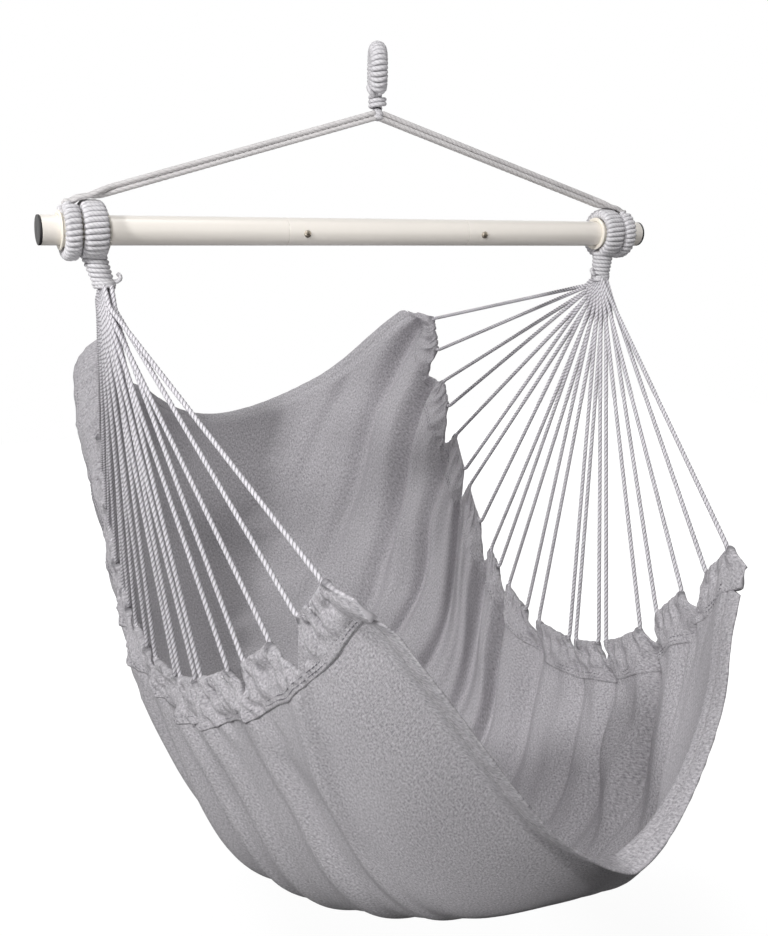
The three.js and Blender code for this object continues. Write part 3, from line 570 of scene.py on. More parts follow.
def new_group(name, inputs, outputs):
    """A node group with the default values of its inputs, and with the names of its outputs."""
    group = bpy.data.node_groups.new(name, "ShaderNodeTree")
    for label, default in inputs.items():
        kind = "NodeSocketFloat" if isinstance(default, float) else "NodeSocketColor"
        group.interface.new_socket(name=label, in_out="INPUT", socket_type=kind).default_value = default
    for label in outputs:
        kind = "NodeSocketColor" if label == "Colour" else "NodeSocketFloat"
        group.interface.new_socket(name=label, in_out="OUTPUT", socket_type=kind)
    given, out = group.nodes.new("NodeGroupInput"), group.nodes.new("NodeGroupOutput")
    return group, Nodes(group), given.outputs, out.inputs


def mottle_group():
    """Uneven tint: a colour times one plus a strength of broad and fine noise on object coordinates."""
    inputs = {"Colour": (0.5, 0.5, 0.5, 1), "Strength": 0.1, "Scale": 30.0}
    group, n, given, out = new_group("uneven_tint", inputs, ["Colour"])
    place = n.object_place()
    broad, fine_scale = n.noise(place, given["Scale"], 3.0), n.times(given["Scale"], 9.0)
    both = n.plus(n.times(broad, 0.6), n.times(n.noise(place, fine_scale, 3.0), 0.4))
    change = n.times(n.minus(both, 0.5), n.times(given["Strength"], 4.0))
    n.feed(out["Colour"], n.blend(1.0, given["Colour"], n.grey(n.plus(change, 1.0)), "MULTIPLY"))
    return group


def lay_group():
    """Laid yarn: u counts strands round the rope and v is metres along it.

    Grooves are one less the size of a sine of u, squared; the colour darkens there towards Dark as painted
    shade.
    Fine fibres are a sine that runs across them, and loose ones are noise drawn out along the rope.
    """
    inputs = {"Light": (0.6, 0.6, 0.6, 1), "Dark": (0.2, 0.2, 0.2, 1), "Groove": 0.6}
    group, n, given, out = new_group("yarn_lay", inputs, ["Colour", "Height"])
    place, u, v = n.map_place("lay")
    crest = n.math("ABSOLUTE", n.sine(n.times(u, math.pi)))
    groove = n.math("POWER", n.minus(1.0, crest), 2.0)
    fibres = n.sine(n.plus(n.times(u, 24.0), n.times(v, 2600.0)))
    loose = n.stretched_noise(place, (6.0, 900.0, 1.0), 3.0, 0.6)
    # Painted shade in the grooves, plus a tone change from the loose fibres.
    shade = n.times(groove, given["Groove"], clamp=True)
    shade = n.plus(shade, n.times(n.minus(0.5, loose), 0.5), clamp=True)
    n.feed(out["Colour"], n.blend(shade, given["Light"], given["Dark"]))
    height = n.plus(n.times(fibres, 0.15), n.times(loose, 0.85))
    n.feed(out["Height"], n.minus(height, n.times(groove, 0.5)))
    return group


def weave_group():
    """Plain weave of mixed light and dark fibres, on a map in metres.

    Threads are crossed sine waves. Flecks are noise drawn out along each thread's direction, with specks.
    """
    long_fleck, fine_fleck = 230.0, 1100.0
    inputs = {"Light": (0.5, 0.5, 0.5, 1), "Dark": (0.3, 0.3, 0.3, 1), "Pitch": 1100.0}
    group, n, given, out = new_group("heather_weave", inputs, ["Colour", "Height"])
    place, across, ahead = n.map_place("lay")
    turns = n.times(given["Pitch"], math.pi)
    threads = n.times(n.sine(n.times(across, turns)), n.sine(n.times(ahead, turns)))
    along_warp = n.stretched_noise(place, (long_fleck, fine_fleck, 1.0), 4.0, 0.65)
    along_weft = n.stretched_noise(place, (fine_fleck, long_fleck, 1.0), 4.0, 0.65)
    speck, cloud = n.noise(place, 430.0, 2.0, 0.6), n.noise(place, 14.0, 3.0)
    flecks = n.plus(n.times(along_warp, 0.5), n.times(along_weft, 0.5))
    mixed = n.plus(n.times(flecks, 0.5), n.times(speck, 0.5))
    light = n.ramp(n.plus(mixed, n.times(n.minus(cloud, 0.5), 0.05)), 0.375, 0.625)
    n.feed(out["Colour"], n.blend(light, given["Dark"], given["Light"]))
    n.feed(out["Height"], n.plus(n.times(threads, 0.35), n.times(mixed, 0.9)))
    return group


UNEVEN, LAY, WEAVE = mottle_group(), lay_group(), weave_group()


def new_material(name, roughness, **sockets):
    """A material with its constants on the shader's own sockets, whose spaces are written as underscores."""
    material = bpy.data.materials.new(name)
    material.use_nodes = True
    shader = material.node_tree.nodes["Principled BSDF"].inputs
    shader["Roughness"].default_value = roughness
    for key, value in sockets.items():
        shader[key.replace("_", " ")].default_value = value
    return material, Nodes(material.node_tree), shader


def colour(*screen):
    """A screen colour, 0 to 255, as the linear one that shaders take."""
    return tuple(c / 255 / 12.92 if c <= 10 else ((c / 255 + 0.055) / 1.055) ** 2.4 for c in screen) + (1.0,)


def bump(n, shader, height, distance, strength):
    inputs = {"Strength": strength, "Distance": distance, "Height": height}
    n.feed(shader["Normal"], n.add("ShaderNodeBump", inputs).outputs[0])


def rope_material(name, light, dark, groove):
    """Cotton rope: strands with painted shade in their grooves, loose fibres and slight fading."""
    material, n, shader = new_material(name, 0.92, Sheen_Weight=0.08, Sheen_Roughness=0.5)
    yarn = n.group(LAY, Light=colour(*light), Dark=colour(*dark), Groove=groove)
    n.feed(shader["Base Color"], n.group(UNEVEN, Colour=yarn["Colour"], Strength=0.12, Scale=35.0)["Colour"])
    bump(n, shader, yarn["Height"], 0.0004, 0.7)
    return material


def cloth_material(name, light, dark, pleats=0.0):
    """Heather canvas: flecked weave, soft fuzz and faint clouds, and painted shade: darker where the hem's
    shade map rises, in its creases and tunnel mouths.
    """
    material, n, shader = new_material(name, 0.95, Sheen_Weight=0.06, Sheen_Roughness=0.6)
    weave = n.group(WEAVE, Light=colour(*light), Dark=colour(*dark))
    tint = n.group(UNEVEN, Colour=weave["Colour"], Strength=0.02, Scale=14.0)
    # Painted shade: the colour darkens towards a dark grey in the hem's creases and tunnel mouths.
    deep = n.times(n.ramp(n.map_place("painted_crease_shade")[1], 0.3, 1.0), pleats)
    n.feed(shader["Base Color"], n.blend(deep, tint["Colour"], colour(58, 56, 61)))
    bump(n, shader, weave["Height"], 0.0005, 0.6)
    return material


def hard_material(name, base, roughness, strength, scale, spread, **sockets):
    """Painted, moulded or plated surface: faint tint changes, and polish that varies by the spread."""
    material, n, shader = new_material(name, roughness, **sockets)
    tint = n.group(UNEVEN, Colour=colour(*base), Strength=strength, Scale=scale)
    n.feed(shader["Base Color"], tint["Colour"])
    place = n.object_place()
    polish = n.times(n.noise(place, scale * 6, 4.0), spread)
    n.feed(shader["Roughness"], n.plus(polish, roughness - spread / 2))
    bump(n, shader, n.noise(place, scale * 20, 2.0), 0.00008, 0.35)
    return material


# Each rope's second colour is painted shade in its grooves, and the last number says how far the grooves
# darken towards it.
ROPE = rope_material("cotton_rope", (226, 223, 228), (62, 59, 66), 0.95)
LEG_ROPE = rope_material("cotton_leg_rope", (209, 206, 206), (150, 146, 147), 0.45)
LOOP_ROPE = rope_material("cotton_loop_whipping", (206, 204, 207), (140, 138, 142), 0.5)
WHIPPING = rope_material("cotton_whipping", (220, 218, 221), (158, 156, 160), 0.5)
CLOTH = cloth_material("heather_canvas", (212, 209, 213), (140, 137, 142))
# The hem's canvas takes painted shade in its creases and tunnel mouths, at this strength.
HEM = cloth_material("hem_canvas", (213, 210, 214), (139, 136, 141), 0.7)
# The side hems' thread is darker than the cloth: painted shade of the seam's shadow line on real stitches.
THREAD = rope_material("sewing_thread", (126, 124, 130), (74, 72, 78), 0.6)
PALE_THREAD = rope_material("pale_sewing_thread", (196, 193, 197), (140, 138, 142), 0.5)
COAT = {"Coat_Weight": 1.0, "Coat_Roughness": 0.3}
ENAMEL = hard_material("ivory_enamel", (236, 230, 222), 0.36, 0.02, 14.0, 0.1, **COAT)
SLEEVE = hard_material("ivory_sleeve", (240, 234, 222), 0.5, 0.03, 30.0, 0.12)
BLACK = hard_material("black_plastic", (20, 18, 19), 0.5, 0.1, 60.0, 0.15)
STEEL = hard_material("screw_steel", (150, 142, 130), 0.34, 0.12, 300.0, 0.15, Metallic=1.0)


# Cords and legs

CORD_STEP, CORD_EASE, LEG_EASE, CORD_GROOVE = 1.8, 12, 16, 0.3

# The cords' bunch in the knot: its rise, its spread from the first to the last cord, and its width in rows
BUNCH_RISE, BUNCH_SPREAD, BUNCH_WIDTH = 6.0, -17, 1.3
STRAND_RADIUS, LEG_LAY, LEG_GROOVE, ROUND_END = CORD_RADIUS + 0.15, 22, 0.09, 2.0

# A strand's line goes over the crest of the neck ring and down to its seat on the leg ring's core
LEG_CREST, LEG_SEAT = RING_OUTER + CORD_RADIUS + 1.4, 26.6 + FIT_GAP + CORD_RADIUS
LEG_CORE_HALF, LEG_LEVEL, LEG_PAST_EDGE, LEG_START, LEG_PAST_CORE = LEG_RING_WIDTH / 2 - 5.3, 14, 3, 3, 1.5

# Places of a leg's strands at the seven points of its line, in cord spacings across and above it
LOWER_STRAND = [(0.5, 0)] * 7
UPPER_STRAND = [(0.5, 1), (0.5, 1), (1.3, 0.8)] + [(1.5, 0)] * 4


def cord_route(side, loop):
    """Down from the knot, through the hem tunnel and up again, with a short bend at each hem corner."""
    neck = neck_point(side)
    ends = (2 * loop, 2 * loop + 1)
    middle = hem_line(side, CORD_ENDS[list(ends)].mean())
    halves = []
    for end, row in zip(ends, (1, -1)):
        angle = float(fan_angle(side, end / (ENDS - 1)))
        aside = row * (CORD_SPACING + FIT_GAP) / 2
        start = neck + np.array([aside, -FAN_START * math.sin(angle), -FAN_START * math.cos(angle)])
        bunch = neck + np.array([aside * BUNCH_WIDTH, (end / (ENDS - 1) - 0.5) * BUNCH_SPREAD, BUNCH_RISE])
        corner = hem_line(side, CORD_ENDS[end])
        up, on = (corner + unit(way - corner) * CORD_BEND for way in (start, middle))
        halves.append([bunch, start, up, (up + on + 2 * corner) / 4, on])
    return np.array([*halves[0], middle, *halves[1][::-1]])


def add_cords():
    for side in SIDES:
        for loop in range(LOOPS):
            line = along(cord_route(side, loop), CORD_STEP, CORD_EASE)
            node = f"cord_loop_{side}_{loop + 1:02d}"
            part = rope(line, (1, 0, 0), CORD_RADIUS, CORD_LAY, groove=CORD_GROOVE)
            piece(node + "_rope", [part], ROPE, "seat", node)


def leg_route(side, across, above):
    """Straight from the apex to the neck ring, level over it, and down on the leg ring.

    A strand lies at its own places across and above that line. Past the straight run its height is the one
    that keeps its distance from the bar's axis.
    """
    neck_edge = NECK_PLACE + NECK_RING_WIDTH / 2
    bend = np.array([neck_edge - NECK_RING_WIDTH + LEG_PAST_EDGE, 0, LEG_CREST])
    start = np.array([0, 0, BAR_DROP - APEX_DROP])
    way = unit(bend - start)
    over = np.array([-way[2], 0, way[0]])
    line = np.array([
        start + way * LEG_START - over * CORD_SPACING / 2, bend - way * LEG_LEVEL, bend,
        [bend[0] + LEG_LEVEL, 0, LEG_CREST],
        [neck_edge + LEG_PAST_EDGE, 0, (LEG_CREST + LEG_SEAT) / 2 + CORD_RADIUS / 2],
        [LEG_PLACE - LEG_CORE_HALF, 0, LEG_SEAT], [LEG_PLACE + LEG_CORE_HALF + LEG_PAST_CORE, 0, LEG_SEAT],
    ])
    straight = np.arange(len(line)) < 3
    line = line + over * (above * straight)[:, None]
    height = np.where(straight, line[:, 2], np.sqrt(line[:, 2] ** 2 - across**2))
    return np.stack([SIDES[side] * line[:, 0], across, height - BAR_DROP], -1)


def add_legs():
    strands = [(stations, way) for stations in (LOWER_STRAND, UPPER_STRAND) for way in (-1, 1)]
    for side in SIDES:
        for number, (stations, way) in enumerate(strands, 1):
            across, above = np.array(stations, float).T * CORD_SPACING
            line = along(leg_route(side, way * across, above), CORD_STEP, LEG_EASE)
            part = rope(line, (0, 1, 0), STRAND_RADIUS, LEG_LAY, groove=LEG_GROOVE, round_ends=ROUND_END)
            node = f"leg_{side}_strand_{number}"
            piece(node + "_rope", [part], LEG_ROPE, "hanger", node)


# Whippings

WINDING_LAY, WINDING_SIDES, RING_STEP, STEM_STEP, TAIL_EASE = 13, 10, 1.6, 1.5, 5
RING_CORD, RING_SWELL, RING_SPREAD = 3.0, 0.3, 0.2

# Whipped rings on the bar: place, width, turns of cord, body, and the opening's middle and half in degrees
RINGS = {
    "neck": (NECK_PLACE, NECK_RING_WIDTH, 27, "seat", 180, 14),
    "leg": (LEG_PLACE, LEG_RING_WIDTH, 26, "hanger", 0, 24),
}

# Necks: drops of the stem's parts below the bar, half widths along and across it, and the loose end's points
STEM_START, STEM_TOP, STEM_FOOT, CONE_FOOT, BAND_TOP, BAND_FOOT = 25, 24, 60, 54, 55, 61
CONE_TOP_RADII, CONE_FOOT_RADII, CONE_TURNS, CONE_CORD = (12.0, 11.4), (9.8, 9.0), 6, 2.6
BAND_TOP_RADII, BAND_FOOT_RADII, BAND_TURNS, BAND_CORD = (10.8, 9.8), (10.2, 9.4), 2, 2.5
NECK_FILL_RADII, NECK_FILL_TAPER, NECK_PADDING_HALF, NECK_PADDING_INSET = (9.5, 9.0), (0.06, 0.05), 3.6, 3.4
NECK_TAIL_START, NECK_TAIL = 10.6, [(2, -3.5, 0.5), (5.5, -5, 1.5), (8, -4, 4.5), (7, -2, 8), (3.5, -2, 8.5)]

# Loop and throat: cord, half angle of the opening, stem, and the loose end's points
LOOP_CORD, LOOP_TURNS, LOOP_OPEN_HALF, LOOP_SWELL, LOOP_PADDING_INSET = 2.9, 25, 24, 0.4, 2.5
LOOP_STEM_RADIUS, LOOP_STEM_HEIGHTS = 5.4, (-34.0, -42.0, -53.0)
THROAT_LOW, THROAT_HIGH, THROAT_RADIUS, THROAT_TURNS, THROAT_CORD = -54.0, -41.5, 8.6, 2.5, 2.6
THROAT_TAIL = [(3, 1.5, 0.5), (4.5, 5, 1.5), (3.5, 9, 4), (2, 10.5, 8), (1, 9, 11)]

# Apex: a ball with a band of cord round it
BALL_RADIUS, BALL_HALF_HEIGHT, BALL_POLE = 6.4, 7.6, 0.08
BALL_BAND_TOP, BALL_BAND_FOOT, BALL_BAND_RADII, BALL_BAND_TURNS, BALL_CORD = -57.6, -66.2, (5.2, 5.0), 2, 2.7


def ring_whipping(place, radius, deep, wide, turns, cord, open_at, open_half, power=3.0):
    """Cord wound round a ring about the X axis, open at one angle.

    The section is a superellipse, a rounded oblong, and the ring angle grows evenly with the turns.
    """
    per_turn = 4 * (deep + wide) * 0.9
    t = np.linspace(0, 1, int(turns * per_turn / RING_STEP) + 1)
    around = math.radians(open_at + open_half) + math.radians(360 - 2 * open_half) * t
    c, s = np.cos(TURN * turns * t), np.sin(TURN * turns * t)
    reach = radius + deep * power_wave(c, 2 / power)
    width = wide * power_wave(s, 2 / power)
    fore, up = np.sin(around), np.cos(around)
    line = np.stack([place[0] + width, place[1] + reach * fore, place[2] + reach * up], -1)
    out = np.stack([s, c * fore, c * up], -1)
    return rope(line, out, cord, WINDING_LAY, WINDING_SIDES)


def stem_whipping(top, bottom, radii_top, radii_bottom, turns, cord, start=0.0, tail=()):
    """Cord wound round an oval stem from one centre to the other; a tail of points can follow its end."""
    count = int(turns * TURN * max(radii_top) / STEM_STEP) + 1
    angle = start + TURN * turns * np.linspace(0, 1, count)
    arms = np.linspace(radii_top, radii_bottom, count) * np.stack([np.cos(angle), np.sin(angle)], -1)
    line = np.linspace(top, bottom, count) + np.column_stack([arms, np.zeros(count)])
    if len(tail):
        line = along(np.concatenate([line, tail]), STEM_STEP, TAIL_EASE)
    return rope(line, (0, 0, 1), cord, WINDING_LAY, WINDING_SIDES, round_ends=ROUND_END)


def core_part(radius, deep, wide, place):
    """Ring of oval section under a whipping, so that no gap shows through."""
    angle = circle(16)
    outline = np.stack([radius + deep * np.cos(angle), place[0] + wide * np.sin(angle)], -1)
    return turned(outline, 48, (0, place[1], place[2]))


def add_rings():
    deep = (RING_OUTER - RING_INNER) / 2 + RING_SWELL - RING_CORD
    for side, sign in SIDES.items():
        for label, (place, width, turns, body, *opening) in RINGS.items():
            at = (sign * place, 0, -BAR_DROP)
            wide = width / 2 + RING_SPREAD - RING_CORD
            winding = ring_whipping(at, RING_MIDDLE + RING_SWELL, deep, wide, turns, RING_CORD, *opening)
            node = f"{label}_{side}_ring"
            piece(node + "_whipping", [winding], WHIPPING, body, node + "_winding")
            if label == "leg":
                core = core_part(RING_MIDDLE, deep, wide, at)
                piece(node + "_padding", [core], WHIPPING, body, node + "_core")


def neck_stem(side, drop):
    """Middle of a neck's stem at a drop below the bar: it leans inwards evenly, down to the knot."""
    drop = np.asarray(drop, float)
    share = (drop - STEM_START) / (NECK_DROP - STEM_START)
    lean = np.stack([-SIDES[side] * NECK_INSET[side] * share, 0 * drop, -drop], -1)
    return np.array([SIDES[side] * NECK_PLACE, 0, -BAR_DROP]) + lean


def add_necks():
    """Each neck: a ring of padding, an oval stem wound with cord, a seizing band and its tail."""
    drops = np.linspace(STEM_TOP, STEM_FOOT, 10)
    wide, deep = (
        np.outer(radius - taper * (drops - STEM_TOP), arm)
        for radius, taper, arm in zip(NECK_FILL_RADII, NECK_FILL_TAPER, ((1, 0, 0), (0, 1, 0)))
    )
    padding_half = NECK_RING_WIDTH / 2 - NECK_PADDING_INSET
    for side, sign in SIDES.items():
        ring = core_part(RING_MIDDLE, NECK_PADDING_HALF, padding_half, (sign * NECK_PLACE, 0, -BAR_DROP))
        filling = stacked(neck_stem(side, drops), wide, deep, 20)
        piece(f"neck_{side}_padding", [ring, filling], WHIPPING, "seat", f"neck_{side}_core")
        cone_top, cone_foot, band_top, band_foot = neck_stem(side, [STEM_TOP, CONE_FOOT, BAND_TOP, BAND_FOOT])
        cone = stem_whipping(cone_top, cone_foot, CONE_TOP_RADII, CONE_FOOT_RADII, CONE_TURNS, CONE_CORD)
        away = np.array([-sign, 0, 0])
        tail = band_top + away * NECK_TAIL_START + NECK_TAIL @ np.array([away, (0, 1, 0), (0, 0, 1)])
        start = math.pi if sign > 0 else 0.0
        band = stem_whipping(
            band_foot, band_top, BAND_FOOT_RADII, BAND_TOP_RADII, BAND_TURNS, BAND_CORD, start, tail
        )
        piece(f"neck_{side}_seizing", [cone, band], WHIPPING, "seat", f"neck_{side}_stem_winding")


def at_loop(part):
    """A ring about the X axis at the origin, turned about Z by the loop's yaw and moved to its middle."""
    points, faces = part
    c, s = math.cos(LOOP_YAW), math.sin(LOOP_YAW)
    return points @ np.array([[c, s, 0], [-s, c, 0], [0, 0, 1]]) + [0, 0, LOOP_CENTRE], faces


def above(heights):
    """Points on the Z axis."""
    return np.outer(heights, (0, 0, 1))


def add_loop():
    """The loop's whipping and padding, the seizing at its throat with a loose end, and the apex knot."""
    half = LOOP_LIMB + LOOP_SWELL - LOOP_CORD
    winding = ring_whipping(
        (0, 0, 0), LOOP_RADIUS, half, half, LOOP_TURNS, LOOP_CORD, 180, LOOP_OPEN_HALF, power=2.0
    )
    piece("top_loop_whipping", [at_loop(winding)], LOOP_ROPE, "top_loop", "top_loop_winding")
    core = core_part(LOOP_RADIUS, half - LOOP_PADDING_INSET, half - LOOP_PADDING_INSET, (0, 0, 0))
    stem = stacked(above(LOOP_STEM_HEIGHTS), (LOOP_STEM_RADIUS, 0, 0), (0, LOOP_STEM_RADIUS, 0))
    piece("top_loop_padding", [at_loop(core), stem], LOOP_ROPE, "top_loop", "top_loop_core")

    yaw = math.pi - LOOP_YAW
    out = np.array([math.cos(yaw), math.sin(yaw), 0])
    ahead = np.array([-out[1], out[0], 0])
    low, high = above((THROAT_LOW, THROAT_HIGH))
    tail = high + out * THROAT_RADIUS + THROAT_TAIL @ np.array([ahead, out, (0, 0, 1)])
    radii = (THROAT_RADIUS, THROAT_RADIUS)
    throat = stem_whipping(low, high, radii, radii, THROAT_TURNS, THROAT_CORD, yaw + math.pi, tail)
    piece("throat_whipping", [throat], LOOP_ROPE, "throat", "throat_winding")

    top, foot = above((BALL_BAND_TOP, BALL_BAND_FOOT))
    wide_radii, narrow_radii = ((r, r) for r in BALL_BAND_RADII)
    band = stem_whipping(top, foot, wide_radii, narrow_radii, BALL_BAND_TURNS, BALL_CORD)
    fall = np.linspace(BALL_POLE, math.pi - BALL_POLE, 12)
    radius = BALL_RADIUS * np.sin(fall)
    centres = above(BALL_HALF_HEIGHT * np.cos(fall) - APEX_DROP)
    ball = stacked(centres, np.outer(radius, (1, 0, 0)), np.outer(radius, (0, 1, 0)))
    piece("apex_knot", [band, ball], LOOP_ROPE, "apex", "apex_ball")


# Bar

BAR_SEGMENTS, TUBE_ROUND, SKIN_INSET = 96, 0.35, 2
PLUG_OUTER, PLUG_INNER, PLUG_DEPTH, PLUG_FLOOR, PLUG_HOLE, PLUG_ROUND = 14.1, 12.1, 16, 0.6, 0.6, 0.9
DISC_RADIUS, DISC_OUTSIDE, DISC_INSIDE = 1.4, 0.05, 1.5
SLEEVE_PAST_RING, SLEEVE_ROUND = 1, 0.5

# Screw: head radius, its rim, the dome's height and how much it falls, and the cross shaped recess
HEAD_RADIUS, HEAD_RIM, DOME_HEIGHT, DOME_FALL = 4.25, 4.2, 2.4, 0.85
CROSS_DEPTH, CROSS_HALF, CROSS_REACH = 1.2, (0.3, 0.6), (1.9, 2.6)
SHANK_RADII, SHANK_HEIGHTS = np.array([HEAD_RADIUS, 2.0, 2.0, 0.2]), np.array([-0.05, -0.05, -7.5, -8.0])


def tube_outline(start, end, spigot):
    """Half section of a tube; points near each end of its skin keep the shading even between them.

    A spigot narrows to fit the next tube's bore.
    """
    bore, inner = BAR_RADIUS - BAR_WALL, BAR_RADIUS - 2 * BAR_WALL - FIT_GAP
    narrow, tip = bore - FIT_GAP, end + SPIGOT
    skin = [(BAR_RADIUS, place) for place in (start, start + SKIN_INSET, end - SKIN_INSET, end)]
    if not spigot:
        return rounded([(bore, start), *skin, (bore, end)], TUBE_ROUND)
    inside = [(inner, tip), (inner, end - BAR_WALL), (bore, end - 2 * BAR_WALL)]
    return rounded([(bore, start), *skin, (narrow, end), (narrow, tip), *inside], TUBE_ROUND)


def add_bar():
    half = BAR_LENGTH / 2 - CAP
    seams = [-half, -SEAM, SEAM, half]
    for k, label in enumerate(("left", "middle", "right")):
        start = seams[k] + (FIT_GAP if k else 0)
        part = turned(tube_outline(start, seams[k + 1], k < 2), BAR_SEGMENTS, BAR_MIDDLE)
        hard_piece(f"bar_{label}", [part], ENAMEL, "spreader_bar", f"bar_tube_{label}")
    for side, sign in SIDES.items():
        add_plug(side, sign, sign * half)
        add_sleeve(side, sign)
        add_screw(side, sign * SEAM + SCREW_PAST_SEAM)


def add_plug(side, sign, face):
    """Cup that closes the tube's end, with a disc over the hole that turning leaves in its middle."""
    end, lip, foot, floor = (face + sign * x for x in (CAP, FIT_GAP, -PLUG_DEPTH, PLUG_FLOOR))
    outline = rounded([
        (PLUG_HOLE, end), (BAR_RADIUS, end), (BAR_RADIUS, lip), (PLUG_OUTER, lip),
        (PLUG_OUTER, foot), (PLUG_INNER, foot), (PLUG_INNER, floor), (PLUG_HOLE, floor),
    ], PLUG_ROUND)
    centres = [(end - sign * x, 0, -BAR_DROP) for x in (DISC_OUTSIDE, DISC_INSIDE)]
    disc = stacked(centres, (0, DISC_RADIUS, 0), (0, 0, DISC_RADIUS), 24)
    cup = turned(outline, BAR_SEGMENTS, BAR_MIDDLE)
    hard_piece(f"end_cap_{side}_plastic", [cup, disc], BLACK, "spreader_bar", f"end_cap_{side}")


def add_sleeve(side, sign):
    """Sleeve inside both rings, with a flange past each."""
    inner = NECK_PLACE - NECK_RING_WIDTH / 2 - SLEEVE_PAST_RING
    outer = LEG_PLACE + LEG_RING_WIDTH / 2 + SLEEVE_PAST_RING
    profile = [
        (SLEEVE_INNER, inner - FLANGE), (FLANGE_RADIUS, inner - FLANGE), (FLANGE_RADIUS, inner),
        (SLEEVE_OUTER, inner), (SLEEVE_OUTER, outer), (FLANGE_RADIUS, outer),
        (FLANGE_RADIUS, outer + FLANGE), (SLEEVE_INNER, outer + FLANGE),
    ]
    part = turned(rounded(profile, SLEEVE_ROUND) * (1, sign), BAR_SEGMENTS, BAR_MIDDLE)
    hard_piece(f"sleeve_{side}", [part], SLEEVE, "hanger", f"liner_{side}")


def add_screw(side, place):
    """Pan head: height falls as a flat dome from the middle, less a cross shaped recess, and a shank follows.

    The axis points forwards, ten degrees down.
    """
    angle = circle(72)
    radii = np.concatenate([np.linspace(0.05, 3.95, 26), [HEAD_RIM, HEAD_RADIUS]])[:, None]
    dome = DOME_HEIGHT * np.sqrt(1 - (radii / HEAD_RADIUS) ** 2 * DOME_FALL) * (radii <= HEAD_RIM)
    cross = np.minimum(np.abs(radii * np.cos(angle)), np.abs(radii * np.sin(angle)))
    head = dome - CROSS_DEPTH * fade(cross, *CROSS_HALF) * fade(radii, *CROSS_REACH)
    shank = np.broadcast_to(SHANK_HEIGHTS[:, None], (len(SHANK_HEIGHTS), len(angle)))
    r = np.concatenate([radii, SHANK_RADII[:, None]])
    x, y, z = r * np.cos(angle), -(BAR_RADIUS + FIT_GAP + np.concatenate([head, shank])), r * np.sin(angle)
    c, s = math.cos(BAR_TURN), math.sin(BAR_TURN)
    spun = np.stack([x + place, y * c - z * s, y * s + z * c - BAR_DROP], -1)
    part = outward(grid_part(spun, wrap=True, caps=True))
    hard_piece(f"joint_screw_{side}_head", [part], STEEL, "spreader_bar", f"joint_screw_{side}")


# Cloth

CLOTH_THICKNESS, CLOTH_WIDTH, CLOTH_INSET, CLOTH_END = 1.4, 0.86, 43.0, 0.003
EDGE_HEM_WIDTH, EDGE_HEM_HALF, EDGE_HEM_INSET = 11.0, 1.9, 36.0

# Rows of points across the side hem, from its edge inwards, closer at the edge
HEM_ROWS = np.array([
    0, 0.25, 0.9, 2, 3.6, 5.6, 8, 10.5, 13.5, 17, 20.5, 24.5, 28.5, 33, 37, 41, 43.5, 46, 48.2, 50.5,
])
HEM_STEP, HEM_PAST_SEAM, EDGE_OUT = 1.5, 1.5, 6.5
HEM_SEEDS = {"left": 120, "right": 150}
CREASE_SEEDS = {"left": 301, "right": 302}

# Creases: spans of half width, length, slant and strength; a loop shorter than SHORT_LOOP has three
CREASE_SPANS = ((1.4, 2.3), (17, 36), (-0.35, 0.35), (0.55, 1.0))
SHORT_LOOP, CREASE_UNEVEN, CREASE_PULL = 55, 0.25, 2.6
END_NOTCH, FIRST_LEFT_NOTCH, SEAM_RISE = 3.0, 9.0, 22

# Side hem: half thickness, its rounding at the edge, heights of its gathers, and where each rises and sinks
HEM_HALF, CORD_SWELL, BAND_SWELL, EDGE_ROUND = 2.6, 2.7, 1.2, 4.2
GATHER_WAVE, GATHER_RUMPLE, CREASE_DROP, PUFF_HEIGHT, FINE_PLEAT = 3.4, 4.0, 5.2, 3.4, 1.9
CORD_SINK, BAND_DEPTHS = (3, 17), (12, 24, 30, 41)
GATHER_SINK, GATHER_FREE, GATHER_LEAST = (-2, 43), (3, 13), 0.22
FINE_RISE, FINE_SINK, PUFF_RISE, PUFF_SINK = (0.5, 4), (9, 24), (0, 5), (33, 42)
# Painted shade at the tunnels' mouths: half width along the hem, depths over which it fades, and its strength
MOUTH_HALF, MOUTH_DEPTH, MOUTH_SHADE = 4.5, (-2, 9), 0.9

# Stitches: their pitch, length and half thickness, how far they stand off, and their rows
SIDE_STITCH = {"pitch": 5.2, "length": 3.6, "radius": 0.55, "stand": 2.3}
EDGE_STITCH = {"pitch": 4.8, "length": 3.4, "radius": 0.5, "stand": 1.95}
SIDE_STITCH_ROWS, EDGE_STITCH_ROW, EDGE_STITCH_INSET = (7.5, 2.8), 8.4, 40.0
STITCH_PLACES = np.array([-0.5, -0.42, -0.2, 0.2, 0.42, 0.5])
STITCH_WIDTHS = np.array([0.15, 0.75, 1.0, 1.0, 0.75, 0.15])


def cloth_uv(shares, distance):
    """Metres across and along the cloth, for the weave."""
    return np.stack([distance, np.broadcast_to(shares[:, None], distance.shape) * HEM_LINE], -1) * MM


def crease_table(seed):
    """Creases across each loop's hem, three or four to a loop.

    Place along the hem, half width, length and slant in millimetres, and strength.
    """
    rng = np.random.default_rng(seed)
    rows = []
    for start, end in CORD_ENDS.reshape(LOOPS, 2) * HEM_LINE:
        count = 3 if end - start < SHORT_LOOP else 4
        uneven = rng.uniform(-CREASE_UNEVEN, CREASE_UNEVEN, count)
        places = start + (end - start) * (np.arange(count) + 0.5 + uneven) / count
        rows.append(np.stack([places, *(rng.uniform(*span, count) for span in CREASE_SPANS)], -1))
    return np.concatenate(rows)


CREASES = {side: crease_table(seed) for side, seed in CREASE_SEEDS.items()}


def crease_depth(side, length, depth):
    """Bell across each crease times a fade along it, and the strongest crease wins."""
    place, width, reach, slant, strength = np.moveaxis(CREASES[side], -1, 0)
    aside = length[..., None] - place - slant * depth[..., None]
    bell = np.exp(-((aside / width) ** 2)) * strength
    return (bell * fade(depth[..., None], 0.3 * reach, reach)).max(-1)


